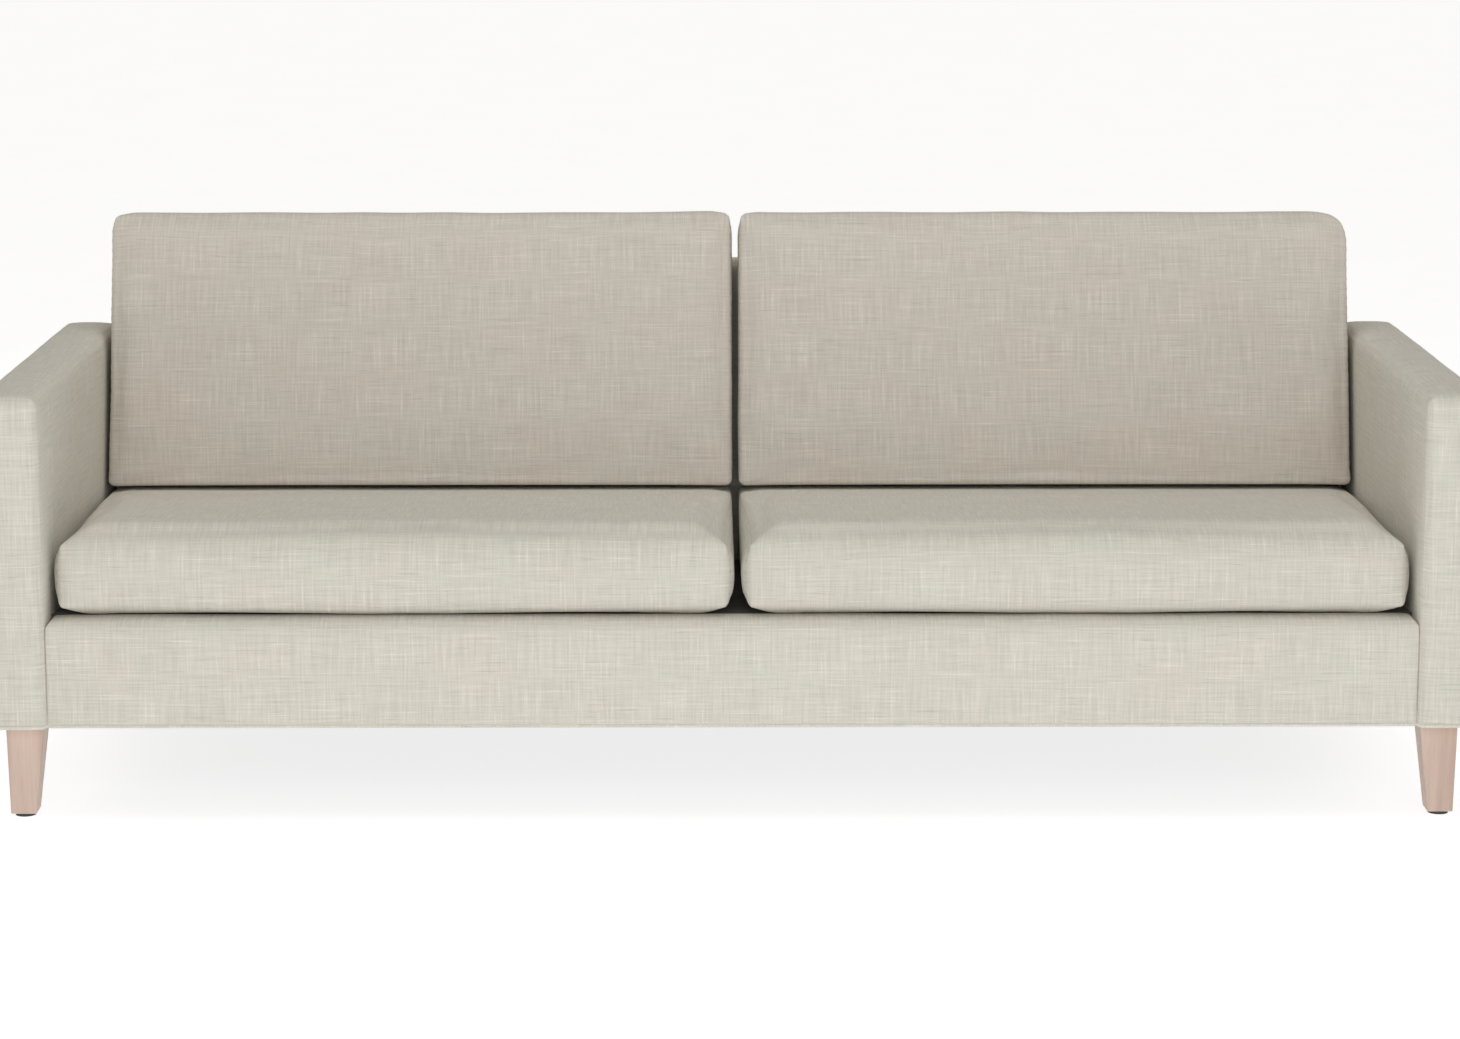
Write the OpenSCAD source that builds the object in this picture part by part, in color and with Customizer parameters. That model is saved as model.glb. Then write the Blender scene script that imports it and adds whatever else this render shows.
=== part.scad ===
/* [Overall] */
// Width over both arms
sofa_w = 2180; // [1900:10:2400]
// Depth from the fronts of the arms to the rearmost edge of the back
sofa_d = 885; // [875:1:905]
// Height of the legs, from the floor to the underside of the body
leg_h = 140; // [120:5:150]
// Tilt of the seat deck, down towards the back
deck_tilt = 4; // [3:0.5:5]
// Lean of the back's face and of the back cushions
back_lean = 16; // [13:1:17]

/* [Arms] */
// Width of one arm
arm_w = 90; // [85:1:110]
// Height of the arms above the floor
arm_top_z = 630; // [600:5:680]
// Depth of the arms, front to rear
arm_d = 820; // [800:5:840]
// Radius of the arms' front and top edges
arm_edge_r = 20; // [18:1:24]
// Radius of the arms' rear top corner
arm_rear_r = 30; // [20:1:40]
// Thickness of the foam around each arm
arm_foam_t = 12; // [8:1:14]
// Thickness of the fibreboard on each arm's two sides
arm_panel_t = 4; // [3:0.5:5]

/* [Legs] */
// Width and depth of a leg at its top
leg_top_w = 56; // [50:1:60]
// Width and depth of a leg at its foot
leg_foot_w = 37; // [34:1:44]
// How far the outer faces of a leg run in towards the foot
leg_outer_taper = 3; // [0:0.5:4]
// Distance from the arm's front or rear end to the leg
leg_set_back = 30; // [28:1:34]
// Distance from the arm's inner face to the leg's top
leg_set_in = 9; // [6:1:12]
// Height of the plastic glide under each leg
glide_h = 5; // [4:0.5:8]

/* [Seat] */
// Height of the deck's plane at the fronts of the arms
deck_z0 = 303.4; // [295:0.1:315]
// Distance from the arms' fronts back to the front rail's face
rail_face_y = 10; // [6:1:14]
// Radius of the front rail's top edge
rail_edge_r = 20; // [12:1:24]
// Distance from the arms' fronts back to the seat cushions
seat_y = 20; // [15:1:25]
// Depth of the seat cushions along the deck
seat_d = 660; // [640:1:664]
// Thickness of the seat cushions
seat_t = 128; // [115:1:132]
// Radius of the seat cushions' front corners and front top edge
seat_front_r = 38; // [25:1:45]
// Where the left and right cushions meet, right of the middle
split_x = 8; // [-10:1:10]
// Gap between the left and right cushions
mid_gap = 6; // [4:0.5:10]
// Gap between a cushion and the arm
side_gap = 6; // [4:0.5:10]
// Number of zigzag springs under each seat cushion
springs_per_seat = 4; // [3:1:5]

/* [Back] */
// Height of the back frame's top above the floor
back_top_z = 726; // [700:1:740]
// Distance from the arms' fronts to the back's face, at the height below
back_y = 727; // [726:1:732]
// Height at which that distance is measured
back_ref_z = 389; // [387:1:391]
// Distance from the arms' fronts to the foot of the back's rear face
back_foot_y = 808; // [800:1:815]
// Thickness of the back cushions
back_cushion_t = 150; // [130:1:155]
// Height of the back cushions' tops along the lean, from the height above
back_cushion_top = 418; // [390:1:440]
// Radius of the back cushions' top corners
back_top_r = 34; // [25:1:40]
// Number of elastic straps behind each back cushion
straps_per_back = 5; // [3:1:6]

/* [Zips] */
// Length of tape left out at each end of a cushion
zip_end = 70; // [60:5:100]
// Width of the zip's tape
zip_tape_w = 26; // [24:1:28]

/* [Hidden] */
$fn = 48;

LEFT = -1;
RIGHT = 1;
// Room that a cutting tool takes past the face it cuts
past = 1;
// Gap kept between two pieces that slide on each other
slide_gap = 0.3;
// Gap kept all round a bolt, a screw or a pin in its hole
hole_gap = 0.2;

// Thicknesses of the upholstery
cover_t = 1.5;
cushion_cover_t = 1.2;
rail_foam_t = 10;
pad_t = 12;
back_foam_t = 12;
strap_t = 2;
rear_board_t = 3;

// The arms, from the inside out
inner_x = sofa_w / 2 - arm_w;
back_end_x = inner_x - cover_t - hole_gap;
arm_skin_t = cover_t + arm_foam_t;
arm_frame_x = inner_x + arm_skin_t + arm_panel_t;
arm_frame_w = arm_w - 2 * (arm_skin_t + arm_panel_t);
arm_board_y0 = arm_skin_t;
arm_board_d = arm_d - 2 * arm_skin_t;
arm_board_top_z = arm_top_z - arm_skin_t;
arm_bottom_rail_h = 60;
arm_top_rail_h = 40;
arm_post_d = 35;

// The timber of the seat base
timber_t = 25;
body_z = leg_h + cover_t;
front_rail_y = rail_face_y + cover_t + rail_foam_t;
rear_rail_y = 665;
back_front_y = rear_rail_y + timber_t;
rail_top_drop = 22;
side_rail_lift = 8.5;
side_rail_z = body_z + side_rail_lift;
front_rail_end_y = 62;

// Springs, seen in the deck's plane
spring_wire = 3.6;
spring_rest_gap = 2.3;
spring_top = -(cover_t + pad_t + spring_rest_gap);
spring_reach = 24;
spring_pitch = 50;
spring_steps = 6;
tie_wire_d = 2.4;
clip_w = 12;
clip_d = 16;
clip_slot_d = 11;
clip_slot_h = 6.8;
clip_t = 1;

// Fasteners
leg_bolt_d = 8;
leg_bolt_z0 = 80;
leg_bolt_z1 = 196;
leg_bolt_in = 34;
leg_bolt_in = 40;
leg_bolt_x = inner_x + leg_bolt_in;
tee_flange_d = 22;
tee_flange_t = 2;
tee_barrel_d = 11;
tee_barrel_h = 12;
glide_d = 30;
glide_pin_d = 3;
glide_pin_h = 15;
arm_bolt_d = 8;
arm_bolt_l = 77;
arm_bolt_head_d = 16;
arm_bolt_head_t = 4;
screw_d = 4;
screw_l = 50;
screw_head_d = 8.4;
screw_head_t = 3;
back_bolt_l = 46;

function deck_z(y) = deck_z0 - y * tan(deck_tilt);
function unit(v) = v / norm(v);
function left_of(v) = [-v[1], v[0]];
function meet(p, u, q, v) = p + u * (cross(q - p, v) / cross(u, v));

// A convex outline, given anticlockwise, with each side moved in by its own distance
function inset(pts, d) = let (n = len(pts)) [
  for (i = [0 : n - 1])
    let (a = pts[(i + n - 1) % n], b = pts[i], c = pts[(i + 1) % n])
    let (u = unit(b - a), v = unit(c - b))
    meet(b + left_of(u) * d[(i + n - 1) % n], u, b + left_of(v) * d[i], v)
];

// The same kind of outline with an arc of its own radius at each corner
function rounded(pts, r, steps = 6) = let (n = len(pts)) [
  for (i = [0 : n - 1])
    let (b = pts[i], u = unit(pts[(i + n - 1) % n] - b), v = unit(pts[(i + 1) % n] - b))
    let (half = acos(u * v) / 2, mid = b + unit(u + v) * r[i] / sin(half))
    let (from = b + u * r[i] / tan(half) - mid, turn = 180 - 2 * half)
    for (k = [0 : r[i] > 0 ? steps : 0])
      let (a = atan2(from[1], from[0]) + turn * k / steps)
      r[i] > 0 ? mid + r[i] * [cos(a), sin(a)] : b
];

function box_outline(a0, b0, a1, b1) = [[a0, b0], [a1, b0], [a1, b1], [a0, b1]];
function all_sides(pts, d) = [for (p = pts) d];

// Children drawn with y measured from the arms' fronts
module placed() {
  translate([0, -sofa_d / 2, 0]) children();
}

// Children drawn for the right side, on the side asked for
module on_side(side) {
  mirror([side == LEFT ? 1 : 0, 0, 0]) children();
}

// Children drawn in the deck's plane: y runs back along it, z stands up from it
module on_deck() {
  translate([0, seat_y, deck_z(seat_y)]) rotate([-deck_tilt, 0, 0]) children();
}

// Children drawn in the back's face: z runs up along it, y goes in behind it
module on_back() {
  translate([0, back_y, back_ref_z]) rotate([-back_lean, 0, 0]) children();
}

// A side view, y across and z up, drawn out from x0 to x1
module across(x0, x1) {
  translate([x0, 0, 0]) rotate([90, 0, 90]) linear_extrude(x1 - x0) children();
}

// A front view, x across and z up, drawn out from y0 to y1
module along(y0, y1) {
  translate([0, y1, 0]) rotate([90, 0, 0]) linear_extrude(y1 - y0) children();
}

module block(x0, y0, z0, x1, y1, z1) {
  translate([x0, y0, z0]) cube([x1 - x0, y1 - y0, z1 - z0]);
}

// ---------- legs ----------

// Children drawn for the front right leg, at the corner asked for
module at_corner(side, rear) {
  on_side(side) translate([0, rear ? arm_d : 0, 0]) mirror([0, rear ? 1 : 0, 0]) children();
}

// The four corners in turn
module at_each_corner() {
  for (side = [LEFT, RIGHT]) for (rear = [false, true]) at_corner(side, rear) children();
}

// One view of a leg: straight on the outer side, tapered on the inner
function leg_view(outer_top, way) = let (outer_foot = outer_top - way * leg_outer_taper) [
  [outer_top, leg_h], [outer_top - way * leg_top_w, leg_h],
  [outer_foot - way * leg_foot_w, 0], [outer_foot, 0]
];

leg_outer_x = inner_x + leg_set_in + leg_top_w;
leg_mid_x = leg_outer_x - leg_outer_taper - leg_foot_w / 2;
leg_mid_y = leg_set_back + leg_outer_taper + leg_foot_w / 2;

module leg_bolt_hole(gap) {
  translate([leg_bolt_x, leg_set_back + leg_bolt_in, leg_bolt_z0])
    cylinder(d = leg_bolt_d + 2 * gap, h = leg_bolt_z1 - leg_bolt_z0);
}

module leg(side, rear) {
  color([0.81, 0.73, 0.67]) placed() at_corner(side, rear) difference() {
    intersection() {
      along(leg_set_back - past, leg_set_back + leg_top_w + past) polygon(leg_view(leg_outer_x, 1));
      across(leg_outer_x - leg_top_w - past, leg_outer_x + past) polygon(leg_view(leg_set_back, -1));
      block(inner_x, 0, glide_h, sofa_w / 2, arm_d / 2, leg_h);
    }
    leg_bolt_hole(hole_gap);
    translate([leg_mid_x, leg_mid_y, glide_h - past])
      cylinder(d = glide_pin_d + 2 * hole_gap, h = glide_pin_h + past);
  }
}

module leg_front_left() { leg(LEFT, false); }
module leg_front_right() { leg(RIGHT, false); }
module leg_rear_left() { leg(LEFT, true); }
module leg_rear_right() { leg(RIGHT, true); }

module leg_hanger_bolts() {
  color("silver") placed() at_each_corner() leg_bolt_hole(0);
}

module tee_nut(gap) {
  translate([leg_bolt_x, leg_set_back + leg_bolt_in, leg_h + arm_bottom_rail_h]) {
    cylinder(d = tee_flange_d + 2 * gap, h = tee_flange_t);
    translate([0, 0, -tee_barrel_h]) cylinder(d = tee_barrel_d + 2 * gap, h = tee_barrel_h + past);
  }
}

module leg_tee_nuts() {
  color("silver") placed() at_each_corner() difference() {
    tee_nut(0);
    leg_bolt_hole(hole_gap);
  }
}

module leg_glides() {
  color([0.2, 0.19, 0.18]) placed() at_each_corner() translate([leg_mid_x, leg_mid_y, 0]) {
    cylinder(d = glide_d, h = glide_h);
    cylinder(d = glide_pin_d, h = glide_h + glide_pin_h - 2 * past);
  }
}

// ---------- arms ----------

// The arm's outer form, taken in by g and open below
module arm_form(g) {
  side_view = box_outline(g, leg_h - (g > 0 ? past : 0), arm_d - g, arm_top_z - g);
  plan = box_outline(inner_x + g, g, sofa_w / 2 - g, arm_d - g);
  front_view = box_outline(inner_x + g, leg_h - past, sofa_w / 2 - g, arm_top_z - g);
  r = arm_edge_r - g;
  intersection() {
    across(inner_x, sofa_w / 2) polygon(rounded(side_view, [0, 0, arm_rear_r - g, r]));
    linear_extrude(arm_top_z) polygon(rounded(plan, [r, r, r, r]));
    along(0, arm_d) polygon(rounded(front_view, [0, 0, r, r]));
  }
}

// Where a bolt goes through each arm: distance back, and height
arm_bolt_places = [[200, 170], [560, 170], [790, 300], [790, 500]];

// The front bolts' heads bear on the base's side rail, the rear ones' on the back's end post
function bolt_head_x(y) = (y > rear_rail_y ? back_end_x : inner_x) - timber_t;

// Children drawn along +x from where the bolt's head sits, at each of an arm's bolts
module at_arm_bolts() {
  for (p = arm_bolt_places)
    translate([bolt_head_x(p[0]), p[0], p[1]]) rotate([0, 90, 0]) children();
}

module arm_bolt_holes(gap) {
  at_arm_bolts() cylinder(d = arm_bolt_d + 2 * gap, h = arm_bolt_l);
}

// Bolt holes in cloth and foam stand this far off the bolts
cloth_hole_gap = 1;

module arm_cover(side) {
  color([0.79, 0.77, 0.72]) placed() on_side(side) difference() {
    arm_form(0);
    arm_form(cover_t);
    arm_bolt_holes(cloth_hole_gap);
  }
}

module arm_foam(side) {
  color([0.93, 0.89, 0.72]) placed() on_side(side) difference() {
    intersection() {
      arm_form(cover_t + hole_gap);
      block(inner_x, 0, leg_h, sofa_w / 2, arm_d, arm_top_z);
    }
    block(inner_x + arm_skin_t, arm_board_y0, leg_h - past, sofa_w / 2 - arm_skin_t,
          arm_board_y0 + arm_board_d, arm_board_top_z);
    arm_bolt_holes(cloth_hole_gap);
  }
}

module arm_panels(side) {
  color([0.62, 0.5, 0.36]) placed() on_side(side) difference() {
    for (x = [inner_x + arm_skin_t, sofa_w / 2 - arm_skin_t - arm_panel_t])
      block(x, arm_board_y0, leg_h, x + arm_panel_t, arm_board_y0 + arm_board_d, arm_board_top_z);
    arm_bolt_holes(cloth_hole_gap);
  }
}

module arm_bottom_rail(side) {
  color([0.86, 0.74, 0.56]) placed() on_side(side) difference() {
    block(arm_frame_x, arm_board_y0, leg_h, arm_frame_x + arm_frame_w,
          arm_board_y0 + arm_board_d, leg_h + arm_bottom_rail_h);
    for (rear = [false, true]) at_corner(RIGHT, rear) {
      translate([0, 0, -past]) leg_bolt_hole(hole_gap);
      tee_nut(hole_gap);
      leg_bolt_hole(hole_gap);
    }
    arm_bolt_holes(hole_gap);
  }
}

module arm_top_rail(side) {
  color([0.86, 0.74, 0.56]) placed() on_side(side)
    block(arm_frame_x, arm_board_y0, arm_board_top_z - arm_top_rail_h,
          arm_frame_x + arm_frame_w, arm_board_y0 + arm_board_d, arm_board_top_z);
}

module arm_posts(side) {
  last_y = arm_board_y0 + arm_board_d - arm_post_d;
  color([0.83, 0.7, 0.52]) placed() on_side(side) difference() {
    for (y = [arm_board_y0, (arm_d - arm_post_d) / 2, last_y])
      block(arm_frame_x, y, leg_h + arm_bottom_rail_h, arm_frame_x + arm_frame_w,
            y + arm_post_d, arm_board_top_z - arm_top_rail_h);
    arm_bolt_holes(hole_gap);
  }
}

module arm_left_bottom_rail() { arm_bottom_rail(LEFT); }
module arm_left_top_rail() { arm_top_rail(LEFT); }
module arm_left_posts() { arm_posts(LEFT); }
module arm_left_panels() { arm_panels(LEFT); }
module arm_left_foam() { arm_foam(LEFT); }
module arm_left_cover() { arm_cover(LEFT); }
module arm_right_bottom_rail() { arm_bottom_rail(RIGHT); }
module arm_right_top_rail() { arm_top_rail(RIGHT); }
module arm_right_posts() { arm_posts(RIGHT); }
module arm_right_panels() { arm_panels(RIGHT); }
module arm_right_foam() { arm_foam(RIGHT); }
module arm_right_cover() { arm_cover(RIGHT); }

module arm_bolts() {
  color("silver") placed() for (side = [LEFT, RIGHT]) on_side(side) {
    arm_bolt_holes(0);
    at_arm_bolts() translate([0, 0, -arm_bolt_head_t])
      cylinder(d = arm_bolt_head_d, h = arm_bolt_head_t);
  }
}

// ---------- seat base ----------

// Timber across the sofa whose top is flat, rail_top_drop under the deck at its middle
module cross_rail(y) {
  block(-inner_x, y, body_z, inner_x, y + timber_t, deck_z(y + timber_t / 2) - rail_top_drop);
}

back_bolt_xs = [-660, -330, 330, 660];
back_bolt_z = 190;

module back_bolt_holes(gap) {
  for (x = back_bolt_xs) translate([x, rear_rail_y, back_bolt_z]) rotate([-90, 0, 0])
    cylinder(d = arm_bolt_d + 2 * gap, h = back_bolt_l);
}

block_leg = 60;
block_z0 = 170;
block_h = 50;
block_screw_in = 15;

// Children drawn along +z from each screw's head: one screw each way out of every block
module at_corner_screws() {
  for (side = [LEFT, RIGHT]) on_side(side) {
    x = inner_x - timber_t - block_leg / 2;
    front_y = front_rail_y + timber_t + block_leg / 2;
    rear_y = rear_rail_y - block_leg / 2;
    translate([x, front_y, block_z0 + block_screw_in]) rotate([90, 0, 0]) children();
    translate([x, rear_y, block_z0 + block_screw_in]) rotate([-90, 0, 0]) children();
    for (y = [front_y, rear_y])
      translate([x, y, block_z0 + block_h - block_screw_in]) rotate([0, 90, 0]) children();
  }
}

module screw(gap) {
  cylinder(d = screw_d + 2 * gap, h = screw_l + gap);
  translate([0, 0, -screw_head_t]) cylinder(d = screw_head_d + 2 * gap, h = screw_head_t);
}

module base_front_rail() {
  color([0.86, 0.74, 0.56]) placed() difference() {
    cross_rail(front_rail_y);
    at_corner_screws() screw(hole_gap);
  }
}

module base_rear_rail() {
  color([0.86, 0.74, 0.56]) placed() difference() {
    cross_rail(rear_rail_y);
    at_corner_screws() screw(hole_gap);
    translate([0, -past, 0]) back_bolt_holes(hole_gap);
    back_bolt_holes(hole_gap);
  }
}

module base_side_rails() {
  y0 = front_rail_y + timber_t;
  drop = cover_t + pad_t + past / 2;
  side_view = [[y0, side_rail_z], [rear_rail_y, side_rail_z],
               [rear_rail_y, deck_z(rear_rail_y) - drop], [y0, deck_z(y0) - drop]];
  color([0.83, 0.7, 0.52]) placed() for (side = [LEFT, RIGHT]) on_side(side) difference() {
    across(inner_x - timber_t, inner_x) polygon(side_view);
    arm_bolt_holes(hole_gap);
    at_corner_screws() screw(hole_gap);
  }
}

module base_stretcher() {
  y0 = front_rail_y + timber_t;
  color([0.83, 0.7, 0.52]) placed()
    block(-timber_t / 2, y0, side_rail_z, timber_t / 2, rear_rail_y, side_rail_z + block_h + timber_t);
}

module corner_blocks() {
  color([0.8, 0.66, 0.46]) placed() for (side = [LEFT, RIGHT]) on_side(side) difference() {
    translate([inner_x - timber_t, 0, block_z0]) {
      translate([0, front_rail_y + timber_t, 0])
        linear_extrude(block_h) polygon([[0, 0], [0, block_leg], [-block_leg, 0]]);
      translate([0, rear_rail_y, 0])
        linear_extrude(block_h) polygon([[0, 0], [-block_leg, 0], [0, -block_leg]]);
    }
    at_corner_screws() screw(hole_gap);
  }
}

module corner_screws() {
  color("silver") placed() at_corner_screws() screw(0);
}

// Middles of the springs, evenly spread over each half of the base
spring_xs = let (half_w = inner_x - timber_t, step = half_w / springs_per_seat) [
  for (side = [-1, 1]) for (i = [0 : springs_per_seat - 1]) side * step * (i + 0.5)
];
spring_y0 = front_rail_y + timber_t / 2;
spring_y1 = rear_rail_y + timber_t / 2;
spring_l = (spring_y1 - spring_y0) / cos(deck_tilt);

// One edge of the zigzag: a sine wave moved sideways by w
function zigzag(w) = let (waves = round(spring_l / spring_pitch), n = waves * spring_steps) [
  for (i = [0 : n])
    let (a = 360 * waves * i / n, slope = spring_reach * cos(a) * 2 * PI * waves / spring_l)
    [spring_reach * sin(a), spring_l * i / n] + w * unit([1, -slope])
];
function backwards(v) = [for (i = [len(v) - 1 : -1 : 0]) v[i]];

module seat_springs() {
  edge = spring_wire / 2;
  color("gray") placed() on_deck() for (x = spring_xs)
    translate([x, (spring_y0 - seat_y) / cos(deck_tilt), spring_top - spring_wire])
      linear_extrude(spring_wire) polygon(concat(zigzag(edge), backwards(zigzag(-edge))));
}

module spring_clips() {
  color("silver") placed() for (x = spring_xs) for (y = [spring_y0, spring_y1])
    translate([x - clip_w / 2, y - clip_d / 2, deck_z(y) - rail_top_drop]) difference() {
      cube([clip_w, clip_d, clip_slot_h + clip_t]);
      translate([-past, (clip_d - clip_slot_d) / 2, -past])
        cube([clip_w + 2 * past, clip_slot_d, clip_slot_h + past]);
    }
}

module spring_tie_wires() {
  reach = inner_x - timber_t;
  color("gray") placed() on_deck() for (y = [seat_d / 3, seat_d * 2 / 3])
    translate([-reach, y, spring_top - spring_wire - tie_wire_d / 2 - hole_gap]) rotate([0, 90, 0])
      cylinder(d = tie_wire_d, h = 2 * reach);
}

// How far the pad and the deck cloth stay from what is round them
pad_gap = 2;
deck_side_gap = 0.5;
deck_front_gap = 1;
deck_rear_gap = 4;

module spring_pad() {
  color([0.42, 0.42, 0.44]) placed() on_deck()
    block(-inner_x + pad_gap, front_rail_end_y - seat_y + pad_gap, -cover_t - pad_t, inner_x - pad_gap,
          back_front_y - seat_y - deck_rear_gap, -cover_t);
}

module deck_cover() {
  color([0.3, 0.29, 0.28]) placed() on_deck()
    block(-inner_x + deck_side_gap, front_rail_end_y - seat_y + deck_front_gap, -cover_t,
          inner_x - deck_side_gap, back_front_y - seat_y - deck_rear_gap, 0);
}

rail_top_z = deck_z(front_rail_end_y);

rail_foam_t = 9.5;

module front_rail_foam() {
  g = cover_t + hole_gap;
  outline = box_outline(rail_face_y + g, body_z, front_rail_end_y, rail_top_z - g);
  under_z = rail_top_z - g - rail_foam_t;
  color([0.93, 0.89, 0.72]) placed() difference() {
    across(-inner_x, inner_x) polygon(rounded(outline, [0, 0, 0, rail_edge_r - g]));
    block(-inner_x - past, front_rail_y, leg_h, inner_x + past, front_rail_end_y + past, under_z);
  }
}

module front_rail_cover() {
  outline = box_outline(rail_face_y, leg_h, front_rail_end_y, rail_top_z);
  inside = box_outline(rail_face_y + cover_t, body_z, front_rail_end_y + past, rail_top_z - cover_t);
  hem_y = front_rail_y + timber_t;
  color([0.79, 0.77, 0.72]) placed() difference() {
    across(-inner_x, inner_x) polygon(rounded(outline, [0, 0, 0, rail_edge_r]));
    across(-inner_x - past, inner_x + past)
      polygon(rounded(inside, [0, 0, 0, rail_edge_r - cover_t]));
    block(-inner_x - past, hem_y, leg_h - past, inner_x + past, front_rail_end_y + past, body_z + past);
  }
}

// How far the dust cover's edges stay in from the body's
dust_side_in = 2;
dust_front_in = 12;
dust_rear_in = 8;

// The dust cover's cloth is stapled over the hems, so it lies under the body
module dust_cover() {
  color([0.16, 0.16, 0.16]) placed()
    block(-inner_x + dust_side_in, front_rail_y + dust_front_in, leg_h - cover_t,
          inner_x - dust_side_in, back_foot_y - dust_rear_in, leg_h);
}

// ---------- back ----------

// The rear top corner stands out by what its rounding takes off
back_rear_r = 24;
back_face_r = 18;
back_rear_lean = atan((sofa_d - back_foot_y) / (back_top_z - leg_h));
back_corner_y = sofa_d + back_rear_r * (tan(back_rear_lean) + 1 / cos(back_rear_lean) - 1);

// Side view of the back, anticlockwise from its front foot
back_bend_z = back_ref_z - (back_y - back_front_y) / tan(back_lean);
back_outline = [
  [back_front_y, leg_h], [back_foot_y, leg_h], [back_corner_y, back_top_z],
  [back_y + (back_top_z - back_ref_z) * tan(back_lean), back_top_z], [back_front_y, back_bend_z]
];

// Distances in from the underside, rear, top, face and lower front
function back_inset(under, rear, top, face, low) = inset(back_outline, [under, rear, top, face, low]);

// The timber's top stays below the rounding of the rear top corner
back_wood_drop = back_rear_r;
back_wood = back_inset(cover_t, cover_t + rear_board_t + hole_gap, back_wood_drop,
                       cover_t + back_foam_t + strap_t, cover_t);
back_top_rail_h = 50;
back_top_rail_z = back_top_z - back_wood_drop - back_top_rail_h;

module back_posts() {
  color([0.83, 0.7, 0.52]) placed() difference() {
    for (x = [-back_end_x, -timber_t / 2, back_end_x - timber_t]) intersection() {
      across(x, x + timber_t) polygon(back_wood);
      block(-inner_x, 0, 0, inner_x, sofa_d, back_top_rail_z);
    }
    for (side = [LEFT, RIGHT]) on_side(side) arm_bolt_holes(hole_gap);
  }
}

module back_top_rail() {
  color([0.86, 0.74, 0.56]) placed() intersection() {
    across(-back_end_x, back_end_x) polygon(back_wood);
    block(-inner_x, 0, back_top_rail_z, inner_x, sofa_d, back_top_z);
  }
}

// Children made twice, for the bays left and right of the centre post
module in_each_bay() {
  for (side = [LEFT, RIGHT]) on_side(side) children();
}
bay_x0 = timber_t / 2 + hole_gap;
bay_x1 = back_end_x - timber_t - hole_gap;

lower_rail_lift = 8;
lower_rail_z = body_z + lower_rail_lift;
lower_rail_h = 80;

module back_bottom_rail() {
  y = back_front_y + cover_t;
  color([0.86, 0.74, 0.56]) placed() difference() {
    in_each_bay()
      block(bay_x0, y, lower_rail_z, bay_x1, y + timber_t, lower_rail_z + lower_rail_h);
    back_bolt_holes(hole_gap);
  }
}

strap_face = cover_t + back_foam_t;
strap_foot = -125;
webbing_rail_h = 60;

module back_webbing_rail() {
  y = strap_face + strap_t;
  color([0.86, 0.74, 0.56]) placed() in_each_bay() on_back()
    block(bay_x0, y, strap_foot, bay_x1, y + timber_t, strap_foot + webbing_rail_h);
}

module back_bolts() {
  color("silver") placed() {
    back_bolt_holes(0);
    for (x = back_bolt_xs) translate([x, rear_rail_y - arm_bolt_head_t, back_bolt_z]) rotate([-90, 0, 0])
      cylinder(d = arm_bolt_head_d, h = arm_bolt_head_t);
  }
}

strap_top_drop = 25;
strap_foot_gap = 5;

module back_webbing() {
  strap_w = 60;
  step = (bay_x1 - bay_x0) / straps_per_back;
  strap_top = (back_top_z - back_ref_z) / cos(back_lean) - strap_top_drop;
  color([0.25, 0.23, 0.2]) placed() in_each_bay() for (i = [0 : straps_per_back - 1])
    translate([bay_x0 + step * (i + 0.5) - strap_w / 2, 0, 0]) on_back()
      block(0, strap_face, strap_foot + strap_foot_gap, strap_w, strap_face + strap_t, strap_top);
}

// The board lies nearer the rounding than the timber and ends lower
board_extra_drop = 5;
back_board_drop = back_wood_drop + board_extra_drop;

module back_rear_board() {
  outside = back_inset(cover_t, cover_t + hole_gap, back_board_drop, 0, 0);
  color([0.62, 0.5, 0.36]) placed() difference() {
    across(-back_end_x, back_end_x) polygon(outside);
    across(-inner_x, inner_x)
      polygon(back_inset(-past, cover_t + rear_board_t, 0, -past, -past));
  }
}

function back_rounded(pts, g) = rounded(pts, [0, 0, back_rear_r - g, back_face_r - g, 0]);

module back_foam() {
  g = cover_t + hole_gap;
  outside = back_inset(cover_t, g, g, g, g);
  inside = back_inset(-past, -past, back_wood_drop, cover_t + back_foam_t, -past);
  color([0.93, 0.89, 0.72]) placed() difference() {
    across(-back_end_x, back_end_x) polygon(back_rounded(outside, g));
    across(-inner_x, inner_x) polygon(inside);
    block(-inner_x, 0, 0, inner_x, sofa_d, back_bend_z);
    on_back() block(-inner_x, cover_t + back_foam_t, -sofa_d, inner_x, sofa_d, 0);
  }
}

module back_cover() {
  inside = back_inset(-past, cover_t, cover_t, cover_t, cover_t);
  color([0.79, 0.77, 0.72]) placed() difference() {
    across(-inner_x, inner_x) polygon(back_rounded(back_outline, 0));
    across(-inner_x + cover_t, inner_x - cover_t) polygon(back_rounded(inside, cover_t));
    for (side = [LEFT, RIGHT]) on_side(side) arm_bolt_holes(cloth_hole_gap);
    back_bolt_holes(cloth_hole_gap);
  }
}

// ---------- cushions ----------

// How far left and right a cushion reaches
function cushion_x0(side) = side == LEFT ? -(inner_x - side_gap) : split_x + mid_gap / 2;
function cushion_x1(side) = side == LEFT ? split_x - mid_gap / 2 : inner_x - side_gap;

seat_edge_r = 16;
back_edge_r = 14;

// A seat cushion's form in the deck's plane, taken in by g
module seat_form(side, g) {
  x0 = cushion_x0(side) + g;
  x1 = cushion_x1(side) - g;
  z0 = slide_gap + g;
  z1 = slide_gap + seat_t - g;
  r = seat_front_r - g;
  s = seat_edge_r - g;
  intersection() {
    across(x0, x1) polygon(rounded(box_outline(g, z0, seat_d - g, z1), [s, s, s, r]));
    linear_extrude(2 * seat_t) polygon(rounded(box_outline(x0, g, x1, seat_d - g), [r, r, s, s]));
    along(0, seat_d) polygon(rounded(box_outline(x0, z0, x1, z1), [s, s, s, s]));
  }
}

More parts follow.
